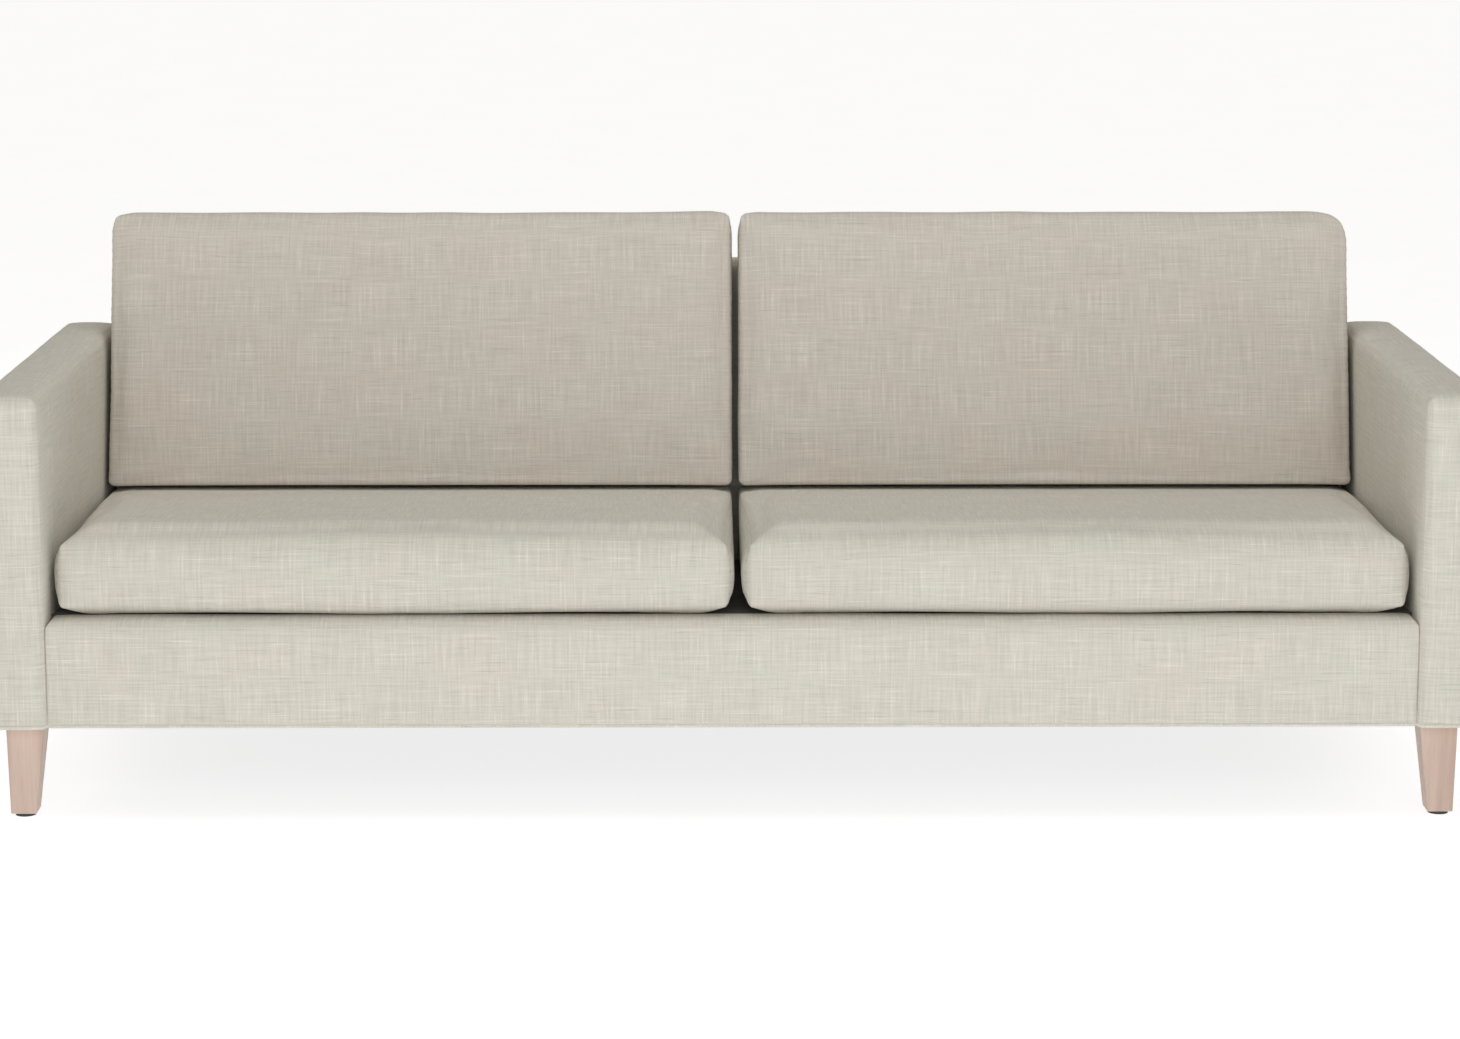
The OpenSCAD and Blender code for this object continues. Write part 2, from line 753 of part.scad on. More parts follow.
// Height of the seat cushions' tops above the deck's plane, with the gap over them
back_rest = seat_t + 2 * slide_gap;

// Height along the back's face at which a back cushion's underside meets depth y
function back_foot(y) =
  (deck_z(back_y) - back_ref_z + back_rest / cos(deck_tilt)
    + y * (sin(back_lean) - cos(back_lean) * tan(deck_tilt)))
  / (cos(back_lean) + sin(back_lean) * tan(deck_tilt));

back_far = -slide_gap - back_cushion_t;
back_cushion_outline = [
  [back_far, back_foot(back_far)], [-slide_gap, back_foot(-slide_gap)],
  [-slide_gap, back_cushion_top], [back_far, back_cushion_top]
];

// A back cushion's form in the back's plane, taken in by g
module back_form(side, g) {
  x0 = cushion_x0(side) + g;
  x1 = cushion_x1(side) - g;
  z0 = back_foot(back_far) + g;
  z1 = back_cushion_top - g;
  r = back_top_r - g;
  s = back_edge_r - g;
  side_view = inset(back_cushion_outline, all_sides(back_cushion_outline, g));
  plan = box_outline(x0, back_far + g, x1, -slide_gap - g);
  intersection() {
    across(x0, x1) polygon(rounded(side_view, [s, s, s, r]));
    along(back_far, 0) polygon(rounded(box_outline(x0, z0, x1, z1), [s, s, r, r]));
    translate([0, 0, z0]) linear_extrude(z1 - z0) polygon(rounded(plan, [s, s, s, s]));
  }
}

// Children drawn on a zip: x along it, z out from the cover, at the middle of its length
module at_seat_zip(side) {
  on_deck() translate([(cushion_x0(side) + cushion_x1(side)) / 2, seat_d, slide_gap + seat_t / 2])
    rotate([-90, 0, 0]) children();
}

back_zip_set_back = 19;
back_zip_y = seat_d + back_zip_set_back;

module at_back_zip(side) {
  on_deck() translate([(cushion_x0(side) + cushion_x1(side)) / 2, back_zip_y, back_rest])
    rotate([180, 0, 0]) children();
}

function zip_l(side) = cushion_x1(side) - cushion_x0(side) - 2 * zip_end;
zip_coil_w = 5;
zip_coil_h = 1.8;
slider_l = 12;
slider_w = 11;
slider_h = 4.6;
tab_l = 24;
tab_w = 6;

// The slot in the cover that the zip fills
module zip_slot(side) {
  translate([-zip_l(side) / 2, -zip_tape_w / 2, -cushion_cover_t - past])
    cube([zip_l(side), zip_tape_w, cushion_cover_t + 2 * past]);
}

module zip(side) {
  translate([-zip_l(side) / 2, -zip_tape_w / 2, -cushion_cover_t])
    cube([zip_l(side), zip_tape_w, cushion_cover_t]);
  translate([-zip_l(side) / 2, -zip_coil_w / 2, -cushion_cover_t / 2])
    cube([zip_l(side), zip_coil_w, zip_coil_h + cushion_cover_t / 2]);
}

// The slider stands at the zip's left end when the zip is closed
module zip_slider(side) {
  translate([-zip_l(side) / 2 + slide_gap, 0, 0]) {
    difference() {
      translate([0, -slider_w / 2, slide_gap]) cube([slider_l, slider_w, slider_h - slide_gap]);
      translate([-past, -zip_coil_w / 2 - slide_gap, 0])
        cube([slider_l + 2 * past, zip_coil_w + 2 * slide_gap, zip_coil_h + slide_gap]);
    }
    translate([slider_l / 3, -tab_w / 2, slider_h]) cube([tab_l, tab_w, zip_coil_h / 2]);
  }
}

module seat_cover(side) {
  color([0.79, 0.77, 0.72]) placed() difference() {
    on_deck() difference() {
      seat_form(side, 0);
      seat_form(side, cushion_cover_t);
    }
    at_seat_zip(side) zip_slot(side);
  }
}

module back_cushion_cover(side) {
  color([0.75, 0.72, 0.68]) placed() difference() {
    on_back() difference() {
      back_form(side, 0);
      back_form(side, cushion_cover_t);
    }
    at_back_zip(side) zip_slot(side);
  }
}

core_inset = cushion_cover_t + slide_gap;

module seat_left_cover() { seat_cover(LEFT); }
module seat_right_cover() { seat_cover(RIGHT); }
module back_left_cover() { back_cushion_cover(LEFT); }
module back_right_cover() { back_cushion_cover(RIGHT); }
module seat_left_core() { color([0.95, 0.92, 0.8]) placed() on_deck() seat_form(LEFT, core_inset); }
module seat_right_core() { color([0.95, 0.92, 0.8]) placed() on_deck() seat_form(RIGHT, core_inset); }
module back_left_core() { color([0.95, 0.95, 0.93]) placed() on_back() back_form(LEFT, core_inset); }
module back_right_core() { color([0.95, 0.95, 0.93]) placed() on_back() back_form(RIGHT, core_inset); }
module seat_left_zip() { color([0.7, 0.68, 0.63]) placed() at_seat_zip(LEFT) zip(LEFT); }
module seat_right_zip() { color([0.7, 0.68, 0.63]) placed() at_seat_zip(RIGHT) zip(RIGHT); }
module back_left_zip() { color([0.7, 0.68, 0.63]) placed() at_back_zip(LEFT) zip(LEFT); }
module back_right_zip() { color([0.7, 0.68, 0.63]) placed() at_back_zip(RIGHT) zip(RIGHT); }
module seat_left_zip_slider() { color("silver") placed() at_seat_zip(LEFT) zip_slider(LEFT); }
module seat_right_zip_slider() { color("silver") placed() at_seat_zip(RIGHT) zip_slider(RIGHT); }
module back_left_zip_slider() { color("silver") placed() at_back_zip(LEFT) zip_slider(LEFT); }
module back_right_zip_slider() { color("silver") placed() at_back_zip(RIGHT) zip_slider(RIGHT); }

leg_front_left();
leg_front_right();
leg_rear_left();
leg_rear_right();
leg_hanger_bolts();
leg_tee_nuts();
leg_glides();
arm_left_bottom_rail();
arm_left_top_rail();
arm_left_posts();
arm_left_panels();
arm_left_foam();
arm_left_cover();
arm_right_bottom_rail();
arm_right_top_rail();
arm_right_posts();
arm_right_panels();
arm_right_foam();
arm_right_cover();
arm_bolts();
base_front_rail();
base_rear_rail();
base_side_rails();
base_stretcher();
corner_blocks();
corner_screws();
seat_springs();
spring_clips();
spring_tie_wires();
spring_pad();
deck_cover();
front_rail_foam();
front_rail_cover();
dust_cover();
back_posts();
back_top_rail();
back_bottom_rail();
back_webbing_rail();
back_bolts();
back_webbing();
back_rear_board();
back_foam();
back_cover();
seat_left_cover();
seat_left_core();
seat_left_zip();
seat_left_zip_slider();
seat_right_cover();
seat_right_core();
seat_right_zip();
seat_right_zip_slider();
back_left_cover();
back_left_core();
back_left_zip();
back_left_zip_slider();
back_right_cover();
back_right_core();
back_right_zip();
back_right_zip_slider();
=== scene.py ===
"""Looks of a two-cushion sofa with wooden legs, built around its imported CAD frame. Metres throughout."""
import math

import bpy
import numpy as np
from mathutils import Matrix, Vector, noise


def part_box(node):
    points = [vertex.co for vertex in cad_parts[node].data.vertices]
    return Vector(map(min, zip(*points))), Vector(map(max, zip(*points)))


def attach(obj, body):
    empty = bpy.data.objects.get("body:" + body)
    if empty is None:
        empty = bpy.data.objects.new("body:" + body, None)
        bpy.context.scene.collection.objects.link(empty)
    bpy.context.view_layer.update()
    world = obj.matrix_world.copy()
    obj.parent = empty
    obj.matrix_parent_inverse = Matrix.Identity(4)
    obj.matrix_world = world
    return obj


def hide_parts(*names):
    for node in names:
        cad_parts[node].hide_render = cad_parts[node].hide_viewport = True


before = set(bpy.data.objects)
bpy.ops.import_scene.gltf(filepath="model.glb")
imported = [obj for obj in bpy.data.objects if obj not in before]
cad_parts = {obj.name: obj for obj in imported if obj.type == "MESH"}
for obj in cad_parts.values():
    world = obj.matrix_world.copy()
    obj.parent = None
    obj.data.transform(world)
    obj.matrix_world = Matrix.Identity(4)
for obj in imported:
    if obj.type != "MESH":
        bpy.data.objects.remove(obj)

MM = 0.001
X, Y, Z = 0, 1, 2
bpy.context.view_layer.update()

# ---------- the frame's own sizes ----------
ARM_LO, ARM_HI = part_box("arm_right_cover")
RAIL_LO, RAIL_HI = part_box("front_rail_cover")
BACK_LO, BACK_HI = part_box("back_cover")
LEG_LO, LEG_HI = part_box("leg_front_right")
DUST_LO, DUST_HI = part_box("dust_cover")
FRONT_Y = ARM_LO.y
INNER_X = ARM_LO.x
SEAT_X = {side: tuple(corner.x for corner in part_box(f"seat_{side}_cover")) for side in ("left", "right")}

# The tilted frames of the seat and the back: how far behind the arms' fronts, how high, and their angles
DECK_BEHIND, DECK_HEIGHT, DECK_TILT = 0.020, 0.302, math.radians(4)
BACK_BEHIND, BACK_HEIGHT, BACK_LEAN = 0.727, 0.389, math.radians(16)


def tilted(origin, angle):
    """A frame at origin, turned down by angle about the sofa's length."""
    return Matrix.Translation(origin) @ Matrix.Rotation(-angle, 4, "X")


DECK = tilted((0, FRONT_Y + DECK_BEHIND, DECK_HEIGHT), DECK_TILT)
BACK = tilted((0, FRONT_Y + BACK_BEHIND, BACK_HEIGHT), BACK_LEAN)
# The seat cushions, in the deck's frame
SEAT_DEPTH = 0.660
SEAT_FOOT, SEAT_TOP = 0.0003, 0.1283
# The back cushions, in the back's frame, and their zips' middle line, in the deck's
BACK_FACE, BACK_REAR = -0.1503, -0.0003
BACK_FOOT_FRONT, BACK_FOOT_REAR, BACK_TOP = -0.0396, -0.0077, 0.418
BACK_ZIP_Y = 0.679
COVER_T = 1.5 * MM


# ---------- materials ----------
# Socket places of the mix node's colour mode
MIX_FACTOR, MIX_FIRST, MIX_SECOND, MIX_RESULT = 0, 6, 7, 2


class Shader:
    """A node tree being built for one procedural material."""

    def __init__(self, name, rough, sheen=0.0, metal=0.0, coat=0.0, specular=0.5):
        self.material = bpy.data.materials.new(name)
        self.material.use_nodes = True
        self.nodes = self.material.node_tree.nodes
        self.links = self.material.node_tree.links
        self.surface = self.nodes["Principled BSDF"]
        for socket, value in (("Roughness", rough), ("Metallic", metal), ("Sheen Weight", sheen),
                              ("Sheen Roughness", 0.6), ("Coat Weight", coat), ("Coat Roughness", 0.35),
                              ("Specular IOR Level", specular)):
            self.surface.inputs[socket].default_value = value
        self.coordinates = self.nodes.new("ShaderNodeTexCoord").outputs["Object"]

    def follow_cloth(self):
        """Patterns follow the cloth's own width and length, in metres."""
        uv = self.nodes.new("ShaderNodeUVMap")
        uv.uv_map = "Cloth"
        self.coordinates = uv.outputs["UV"]

    def pattern(self, scale, detail=2.0, rough=0.5, kind="noise"):
        """Noise, stretched by the three scales, in cycles per metre."""
        mapping = self.nodes.new("ShaderNodeMapping")
        mapping.inputs["Scale"].default_value = scale
        self.links.new(self.coordinates, mapping.inputs["Vector"])
        texture = self.nodes.new("ShaderNodeTexVoronoi" if kind == "cells" else "ShaderNodeTexNoise")
        texture.inputs["Scale"].default_value = 1.0
        if kind == "noise":
            texture.inputs["Detail"].default_value = detail
            texture.inputs["Roughness"].default_value = rough
        self.links.new(mapping.outputs["Vector"], texture.inputs["Vector"])
        return texture.outputs["Distance" if kind == "cells" else "Fac"]

    def waves(self, scale, turn=0.0):
        """Even ridges, in cycles per metre, turned in the cloth's plane."""
        mapping = self.nodes.new("ShaderNodeMapping")
        mapping.inputs["Rotation"].default_value = (0, 0, turn)
        self.links.new(self.coordinates, mapping.inputs["Vector"])
        texture = self.nodes.new("ShaderNodeTexWave")
        texture.inputs["Scale"].default_value = scale / math.tau
        texture.inputs["Distortion"].default_value = 0.6
        texture.inputs["Detail"].default_value = 1.0
        self.links.new(mapping.outputs["Vector"], texture.inputs["Vector"])
        return texture.outputs["Fac"]

    def ranged(self, value, low, high, to_low=0.0, to_high=1.0):
        """The value, with low to high stretched to to_low to to_high."""
        node = self.nodes.new("ShaderNodeMapRange")
        for socket, number in (("From Min", low), ("From Max", high),
                               ("To Min", to_low), ("To Max", to_high)):
            node.inputs[socket].default_value = number
        self.links.new(value, node.inputs["Value"])
        return node.outputs["Result"]

    def maths(self, how, first, second):
        """One sum of two values, each a number or a socket."""
        node = self.nodes.new("ShaderNodeMath")
        node.operation = how
        for place, value in enumerate((first, second)):
            if isinstance(value, (int, float)):
                node.inputs[place].default_value = value
            else:
                self.links.new(value, node.inputs[place])
        return node.outputs["Value"]

    def mixed(self, factor, first, second, how="MIX"):
        """Two colours mixed, each a colour or a socket."""
        node = self.nodes.new("ShaderNodeMix")
        node.data_type = "RGBA"
        node.blend_type = how
        for socket, value in ((MIX_FACTOR, factor), (MIX_FIRST, first), (MIX_SECOND, second)):
            if isinstance(value, bpy.types.NodeSocket):
                self.links.new(value, node.inputs[socket])
            elif socket == MIX_FACTOR:
                node.inputs[socket].default_value = value
            else:
                node.inputs[socket].default_value = (*value, 1)
        return node.outputs[MIX_RESULT]

    def bump(self, height, distance, strength=0.5):
        """A relief; distance is its depth in metres."""
        node = self.nodes.new("ShaderNodeBump")
        node.inputs["Strength"].default_value = strength
        node.inputs["Distance"].default_value = distance
        self.links.new(height, node.inputs["Height"])
        self.links.new(node.outputs["Normal"], self.surface.inputs["Normal"])

    def colour(self, value):
        """Sets the surface's colour and gives the finished material."""
        self.links.new(value, self.surface.inputs["Base Color"])
        return self.material


def linear(red, green, blue):
    """A screen colour, 0 to 255, as linear light."""
    return tuple(((c / 255 + 0.055) / 1.055) ** 2.4 for c in (red, green, blue))


# Linen's patterns, in cycles per metre across and along the cloth
PATCHES, WEFT, WARP, FINE_WEFT, DARK_YARNS = (7, 9, 1), (10, 360, 1), (330, 13, 1), (60, 900, 1), (19, 380, 3)
THREADS = 1250
# How far the palest and darkest yarns stand from the base colour
DARKEST, PALEST = 0.55, 1.45


def linen(name, base, warm, cool):
    """Slub-weave linen: long pale and dark yarns both ways, soft patches, a fine plain weave."""
    s = Shader(name, rough=0.92, sheen=0.12, specular=0.2)
    s.follow_cloth()
    patches = s.ranged(s.pattern(PATCHES, detail=2.0), 0.35, 0.65)
    tone = s.mixed(patches, warm, cool)
    weft = s.pattern(WEFT, detail=2.5, rough=0.6)
    warp = s.pattern(WARP, detail=2.5, rough=0.6)
    fine_weft = s.pattern(FINE_WEFT, detail=1.0)
    shade = s.maths("ADD", s.ranged(weft, 0.3, 0.7, -0.075, 0.075), s.ranged(warp, 0.3, 0.7, -0.085, 0.085))
    shade = s.maths("ADD", shade, s.ranged(fine_weft, 0.25, 0.75, -0.035, 0.035))
    pale = s.maths("ADD", s.ranged(weft, 0.62, 0.72, 0.0, 0.11), s.ranged(warp, 0.62, 0.74, 0.0, 0.10))
    dark = s.ranged(s.pattern(DARK_YARNS, detail=1.0), 0.62, 0.74, 0.0, 0.13)
    value = s.maths("ADD", s.maths("ADD", 0.5, shade), s.maths("SUBTRACT", pale, dark))
    light = s.mixed(value, tuple(c * DARKEST for c in base), tuple(min(1, c * PALEST) for c in base))
    weave = s.maths("MULTIPLY", s.waves(THREADS), s.waves(THREADS, math.pi / 2))
    weft_height = s.maths("MULTIPLY", weft, 0.7)
    height = s.maths("ADD", weft_height, s.maths("ADD", warp, s.maths("MULTIPLY", weave, 0.5)))
    s.bump(height, distance=0.0012, strength=0.45)
    return s.colour(s.mixed(1.0, light, tone, "MULTIPLY"))


def wood(name, pale, dark, along="z", gloss=0.5, coat=0.1):
    """Sawn wood whose grain runs along one axis, with fine pores."""
    s = Shader(name, rough=gloss, coat=coat, specular=0.35)
    stretch = {"x": (3, 90, 90), "z": (90, 90, 3)}[along]
    figure = s.pattern(tuple(v * 0.45 for v in stretch), detail=3.0)
    grain = s.pattern(stretch, detail=4.0, rough=0.6)
    pores = s.pattern(tuple(v * 9 if v > 3 else 14 for v in stretch), detail=1.0)
    mix = s.maths("ADD", s.ranged(figure, 0.35, 0.65, 0, 0.5), s.ranged(grain, 0.3, 0.7, 0, 0.5))
    tone = s.mixed(mix, pale, dark)
    flecks = s.ranged(pores, 0.62, 0.78, 0.0, 0.35)
    s.links.new(s.ranged(grain, 0.3, 0.7, gloss - 0.06, gloss + 0.1), s.surface.inputs["Roughness"])
    s.bump(s.maths("SUBTRACT", grain, flecks), distance=0.0006, strength=0.35)
    return s.colour(s.mixed(flecks, tone, tuple(c * 0.6 for c in dark)))


def mottled(name, first, second, scale, rough, bump=0.0005, sheen=0.0, metal=0.0, kind="noise"):
    """Foam, felt, board, plastic or metal: two tones, grain at its own scale and a matching relief."""
    s = Shader(name, rough=rough, sheen=sheen, metal=metal, specular=0.4 if rough < 0.7 else 0.2)
    if isinstance(scale, (int, float)):
        scale = (scale, scale, scale)
    grain = s.pattern(scale, detail=3.0, rough=0.6, kind=kind)
    broad = s.pattern(tuple(v * 0.08 + 2 for v in scale), detail=2.0)
    mix = s.maths("ADD", s.ranged(grain, 0.25, 0.75, 0, 0.65), s.ranged(broad, 0.3, 0.7, 0, 0.35))
    s.links.new(s.ranged(broad, 0.3, 0.7, rough - 0.07, rough + 0.05), s.surface.inputs["Roughness"])
    s.bump(grain, bump)
    return s.colour(s.mixed(mix, first, second))


def strapped(name, first, second, scale):
    """Woven strap or tape: even ridges both ways over a mottled tone."""
    s = Shader(name, rough=0.8, sheen=0.1, specular=0.25)
    across = s.waves(scale)
    along = s.waves(scale * 0.6, math.pi / 2)
    weave = s.maths("MULTIPLY", across, along)
    patches = s.ranged(s.pattern((40, 40, 40), detail=2.0), 0.3, 0.7, 0.0, 0.4)
    s.bump(weave, distance=0.0006, strength=0.6)
    return s.colour(s.mixed(s.maths("ADD", s.maths("MULTIPLY", weave, 0.6), patches), first, second))


LINEN = linear(214, 210, 200)
CUSHION_LINEN = linear(212, 205, 195)
MATERIALS = {
    "upholstery": linen("Linen", LINEN, warm=(1.0, 0.985, 0.965), cool=(0.985, 1.0, 0.98)),
    "back_upholstery": linen("LinenBack", CUSHION_LINEN, warm=(1.0, 0.98, 0.965), cool=(0.985, 0.995, 0.985)),
    "seam": mottled("SeamThread", linear(176, 168, 154), linear(196, 190, 178), 500, rough=0.9),
    "leg_wood": wood("PaleBeech", linear(213, 191, 177), linear(186, 160, 145)),
    "timber": wood("Pine", linear(222, 196, 152), linear(190, 150, 104), along="x", gloss=0.7, coat=0.0),
    "fibreboard": mottled("Hardboard", linear(150, 120, 88), linear(120, 92, 66), 260, rough=0.75),
    "foam": mottled("Foam", linear(238, 228, 196), linear(214, 200, 160), 420, rough=0.95, bump=0.0008,
                    kind="cells"),
    "deck_cloth": mottled("DeckCloth", linear(96, 92, 84), linear(74, 70, 64), (380, 380, 40), rough=0.95,
                          sheen=0.1),
    "felt": mottled("Felt", linear(120, 120, 124), linear(84, 84, 90), (150, 150, 90), rough=1.0, bump=0.0012,
                    sheen=0.2),
    "dust_cloth": mottled("DustCloth", linear(46, 46, 48), linear(30, 30, 32), (300, 300, 60), rough=0.95,
                          sheen=0.1),
    "webbing": strapped("Webbing", linear(84, 76, 66), linear(124, 112, 96), 420),
    "zip_tape": strapped("ZipTape", linear(176, 168, 152), linear(200, 193, 180), 900),
    "zip_metal": mottled("ZipMetal", (0.5, 0.49, 0.47), (0.62, 0.61, 0.59), (300, 60, 300), rough=0.38,
                         bump=0.0001, metal=1.0),
    "bare_steel": mottled("ZincSteel", (0.48, 0.49, 0.5), (0.62, 0.62, 0.62), (240, 240, 60), rough=0.42,
                          bump=0.0001, metal=1.0),
    "spring_steel": mottled("SpringSteel", (0.05, 0.05, 0.055), (0.1, 0.1, 0.105), 200, rough=0.45,
                            metal=0.6),
    "glide_plastic": mottled("Nylon", linear(66, 62, 58), linear(44, 42, 40), 160, rough=0.55),
}
NODE_SLOTS = {
    "leg_hanger_bolts": "bare_steel", "leg_tee_nuts": "bare_steel", "leg_glides": "glide_plastic",
    "arm_bolts": "bare_steel", "back_bolts": "bare_steel", "corner_screws": "bare_steel",
    "seat_springs": "spring_steel", "spring_tie_wires": "spring_steel", "spring_clips": "bare_steel",
    "back_webbing": "webbing", "back_rear_board": "fibreboard", "spring_pad": "felt",
}


def node_slot(name):
    """The finish of a CAD node, from what its name says it is."""
    if name in NODE_SLOTS:
        return NODE_SLOTS[name]
    for word, kind in (("slider", "zip_metal"), ("zip", "zip_tape"), ("foam", "foam"), ("core", "foam"),
                       ("panels", "fibreboard"), ("cover", "upholstery"), ("leg", "leg_wood")):
        if word in name:
            return kind
    return "timber"


for node_name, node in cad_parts.items():
    node.data.materials.clear()
    node.data.materials.append(MATERIALS[node_slot(node_name)])


# ---------- forms ----------
def smooth(t):
    """Eases from 0 to 1."""
    return t * t * (3 - 2 * t)


def lines(length, cell, edge):
    """Places of a lattice's lines along one side: close at both edges, even between."""
    ends = [edge * share for share in (0, 0.35, 0.7, 1)]
    inner = np.linspace(edge, length - edge, max(2, round((length - 2 * edge) / cell)) + 1)
    return np.array([*ends[:-1], *inner, *[length - e for e in reversed(ends[:-1])]])


# Each end of a box: its axis, and whether it is the far one
BOX_ENDS = {"left": (X, 0), "right": (X, 1), "front": (Y, 0), "rear": (Y, 1), "bottom": (Z, 0), "top": (Z, 1)}


class SoftBox:
    """A closed box of quads from 0 to size, its edges eased by one small radius."""

    def __init__(self, size, cell, edge, radius):
        self.size, self.radius = np.array(size, float), radius
        self.axes = [lines(length, cell, edge) for length in size]
        self.n = [len(a) - 1 for a in self.axes]
        self.index, self.places, self.quads, self.sides = {}, [], [], []
        nx, ny, nz = self.n
        for i in range(nx):
            for j in range(ny):
                self.quad("bottom", (i, j, 0), (i, j + 1, 0), (i + 1, j + 1, 0), (i + 1, j, 0))
                self.quad("top", (i, j, nz), (i + 1, j, nz), (i + 1, j + 1, nz), (i, j + 1, nz))
        for i in range(nx):
            for k in range(nz):
                self.quad("front", (i, 0, k), (i + 1, 0, k), (i + 1, 0, k + 1), (i, 0, k + 1))
                self.quad("rear", (i, ny, k), (i, ny, k + 1), (i + 1, ny, k + 1), (i + 1, ny, k))
        for j in range(ny):
            for k in range(nz):
                self.quad("left", (0, j, k), (0, j, k + 1), (0, j + 1, k + 1), (0, j + 1, k))
                self.quad("right", (nx, j, k), (nx, j + 1, k), (nx, j + 1, k + 1), (nx, j, k + 1))
        self.flat = np.array([[self.axes[a][p[a]] for a in range(3)] for p in self.places])
        self.share = self.flat / self.size
        core = np.clip(self.flat, radius, self.size - radius)
        out = self.flat - core
        self.points = core + out * radius / np.maximum(np.linalg.norm(out, axis=1, keepdims=True), 1e-9)

    def quad(self, side, *corners):
        """Adds one face of a side, its corners given as lattice places."""
        self.quads.append([self.at(c) for c in corners])
        self.sides.append(side)

    def at(self, place):
        """The index of the point at a lattice place."""
        if place not in self.index:
            self.index[place] = len(self.places)
            self.places.append(place)
        return self.index[place]

    def arc(self, first, second, radius, fade=None):
        """Rounds the edge where two ends meet to a larger radius; fade is each point's share of it."""
        axes, ends = zip(BOX_ENDS[first], BOX_ENDS[second])
        r = self.radius + (radius - self.radius) * (1.0 if fade is None else fade)
        signs = [1 if end else -1 for end in ends]
        centres = [self.size[a] - r if end else r for a, end in zip(axes, ends)]
        out = [(self.points[:, a] - c) * sign for a, c, sign in zip(axes, centres, signs)]
        far = np.hypot(*out)
        over = (out[0] > 0) & (out[1] > 0) & (far > r)
        pull = r / np.maximum(far, 1e-9)
        for a, c, sign, o in zip(axes, centres, signs, out):
            self.points[:, a] = np.where(over, c + sign * o * pull, self.points[:, a])
        return self

    def ring(self, axis, step, inset=0):
        """Indices round the box at one step of an axis; at an end face, inset steps in from its edge."""
        a, b = [k for k in range(3) if k != axis]
        la, ha, lb, hb = inset, self.n[a] - inset, inset, self.n[b] - inset
        walk = [(s, lb) for s in range(la, ha)] + [(ha, s) for s in range(lb, hb)]
        walk += [(s, hb) for s in range(ha, la, -1)] + [(la, s) for s in range(hb, lb, -1)]
        if inset:
            walk = [(s, t) for s, t in walk if not (s in (la, ha) and t in (lb, hb))]
        found = []
        for s, t in walk:
            place = [0, 0, 0]
            place[axis], place[a], place[b] = step, s, t
            found.append(self.index[tuple(place)])
        return found

    def row(self, axis, **fixed):
        """Indices along one axis at fixed steps of the others, ends left out."""
        found = []
        for s in range(2, self.n[axis] - 1):
            place = [fixed.get(name, 0) for name in "xyz"]
            place[axis] = s
            found.append(self.index[tuple(place)])
        return found

    def cloth_uv(self, shift):
        """Each corner's place on the cloth, in metres."""
        w, d, h = self.size
        found = []
        for side, quad in zip(self.sides, self.quads):
            for v in quad:
                x, y, z = self.flat[v]
                found.append({"front": (x, z), "top": (x, h + y), "rear": (x, h + d + h - z),
                              "bottom": (x, -y), "left": (-y, z), "right": (w + y, z)}[side])
        return np.array(found) + np.array([shift, shift * 0.37])


def mesh_object(name, points, faces, material, uv=None, flat_shading=False):
    """A new object; uv holds one place on the cloth for each corner of each face."""
    mesh = bpy.data.meshes.new(name)
    mesh.from_pydata([tuple(p) for p in points], [], [tuple(f) for f in faces])
    if uv is not None:
        layer = mesh.uv_layers.new(name="Cloth")
        layer.data.foreach_set("uv", np.asarray(uv, np.float32).ravel())
    mesh.polygons.foreach_set("use_smooth", [not flat_shading] * len(mesh.polygons))
    mesh.materials.append(material)
    mesh.update()
    made = bpy.data.objects.new(name, mesh)
    bpy.context.scene.collection.objects.link(made)
    return made


def subdivided(obj):
    """Smooths and splits each face in four, for good. The old points keep their indices."""
    modifier = obj.modifiers.new("Subdivision", "SUBSURF")
    modifier.levels = modifier.render_levels = 1
    done = bpy.data.meshes.new_from_object(obj.evaluated_get(bpy.context.evaluated_depsgraph_get()))
    obj.modifiers.clear()
    obj.data = done


def coordinates(obj, what="co"):
    """One row for each of the object's points."""
    rows = np.zeros(len(obj.data.vertices) * 3)
    obj.data.vertices.foreach_get(what, rows)
    return rows.reshape(-1, 3)


def set_coordinates(obj, co):
    obj.data.vertices.foreach_set("co", np.asarray(co, np.float32).ravel())
    obj.data.update()


def normals(obj):
    return coordinates(obj, "normal")


def wavy(points, scale, seed):
    """Smooth noise from -1 to 1 at each point."""
    return np.array([noise.noise(Vector(p) * scale + Vector((seed, seed * 1.7, 3.1))) for p in points])


def tube(path, out, radius, closed=True, sides=6):
    """Points and faces of a thin round welt that follows a path, out being the surface's normals there."""
    path, out = np.array(path), np.array(out)
    along = np.roll(path, -1, 0) - np.roll(path, 1, 0)
    if not closed:
        along[0], along[-1] = path[1] - path[0], path[-1] - path[-2]
    along /= np.linalg.norm(along, axis=1, keepdims=True)
    side = np.cross(along, out)
    side /= np.linalg.norm(side, axis=1, keepdims=True)
    up = np.cross(side, along)
    turn = np.arange(sides) * math.tau / sides
    points = (path[:, None] + radius * (np.cos(turn)[None, :, None] * up[:, None]
                                        + np.sin(turn)[None, :, None] * side[:, None])).reshape(-1, 3)
    n, faces = len(path), []
    for i in range(n if closed else n - 1):
        a, b = i * sides, (i + 1) % n * sides
        for k in range(sides):
            faces.append((a + k, a + (k + 1) % sides, b + (k + 1) % sides, b + k))
    if not closed:
        faces += [tuple(range(sides))[::-1], tuple(range((n - 1) * sides, n * sides))]
    return points, faces


# A seam's curve leaves each of its chords by at most this share of the chord's length
CHORD_SHARE = 0.12


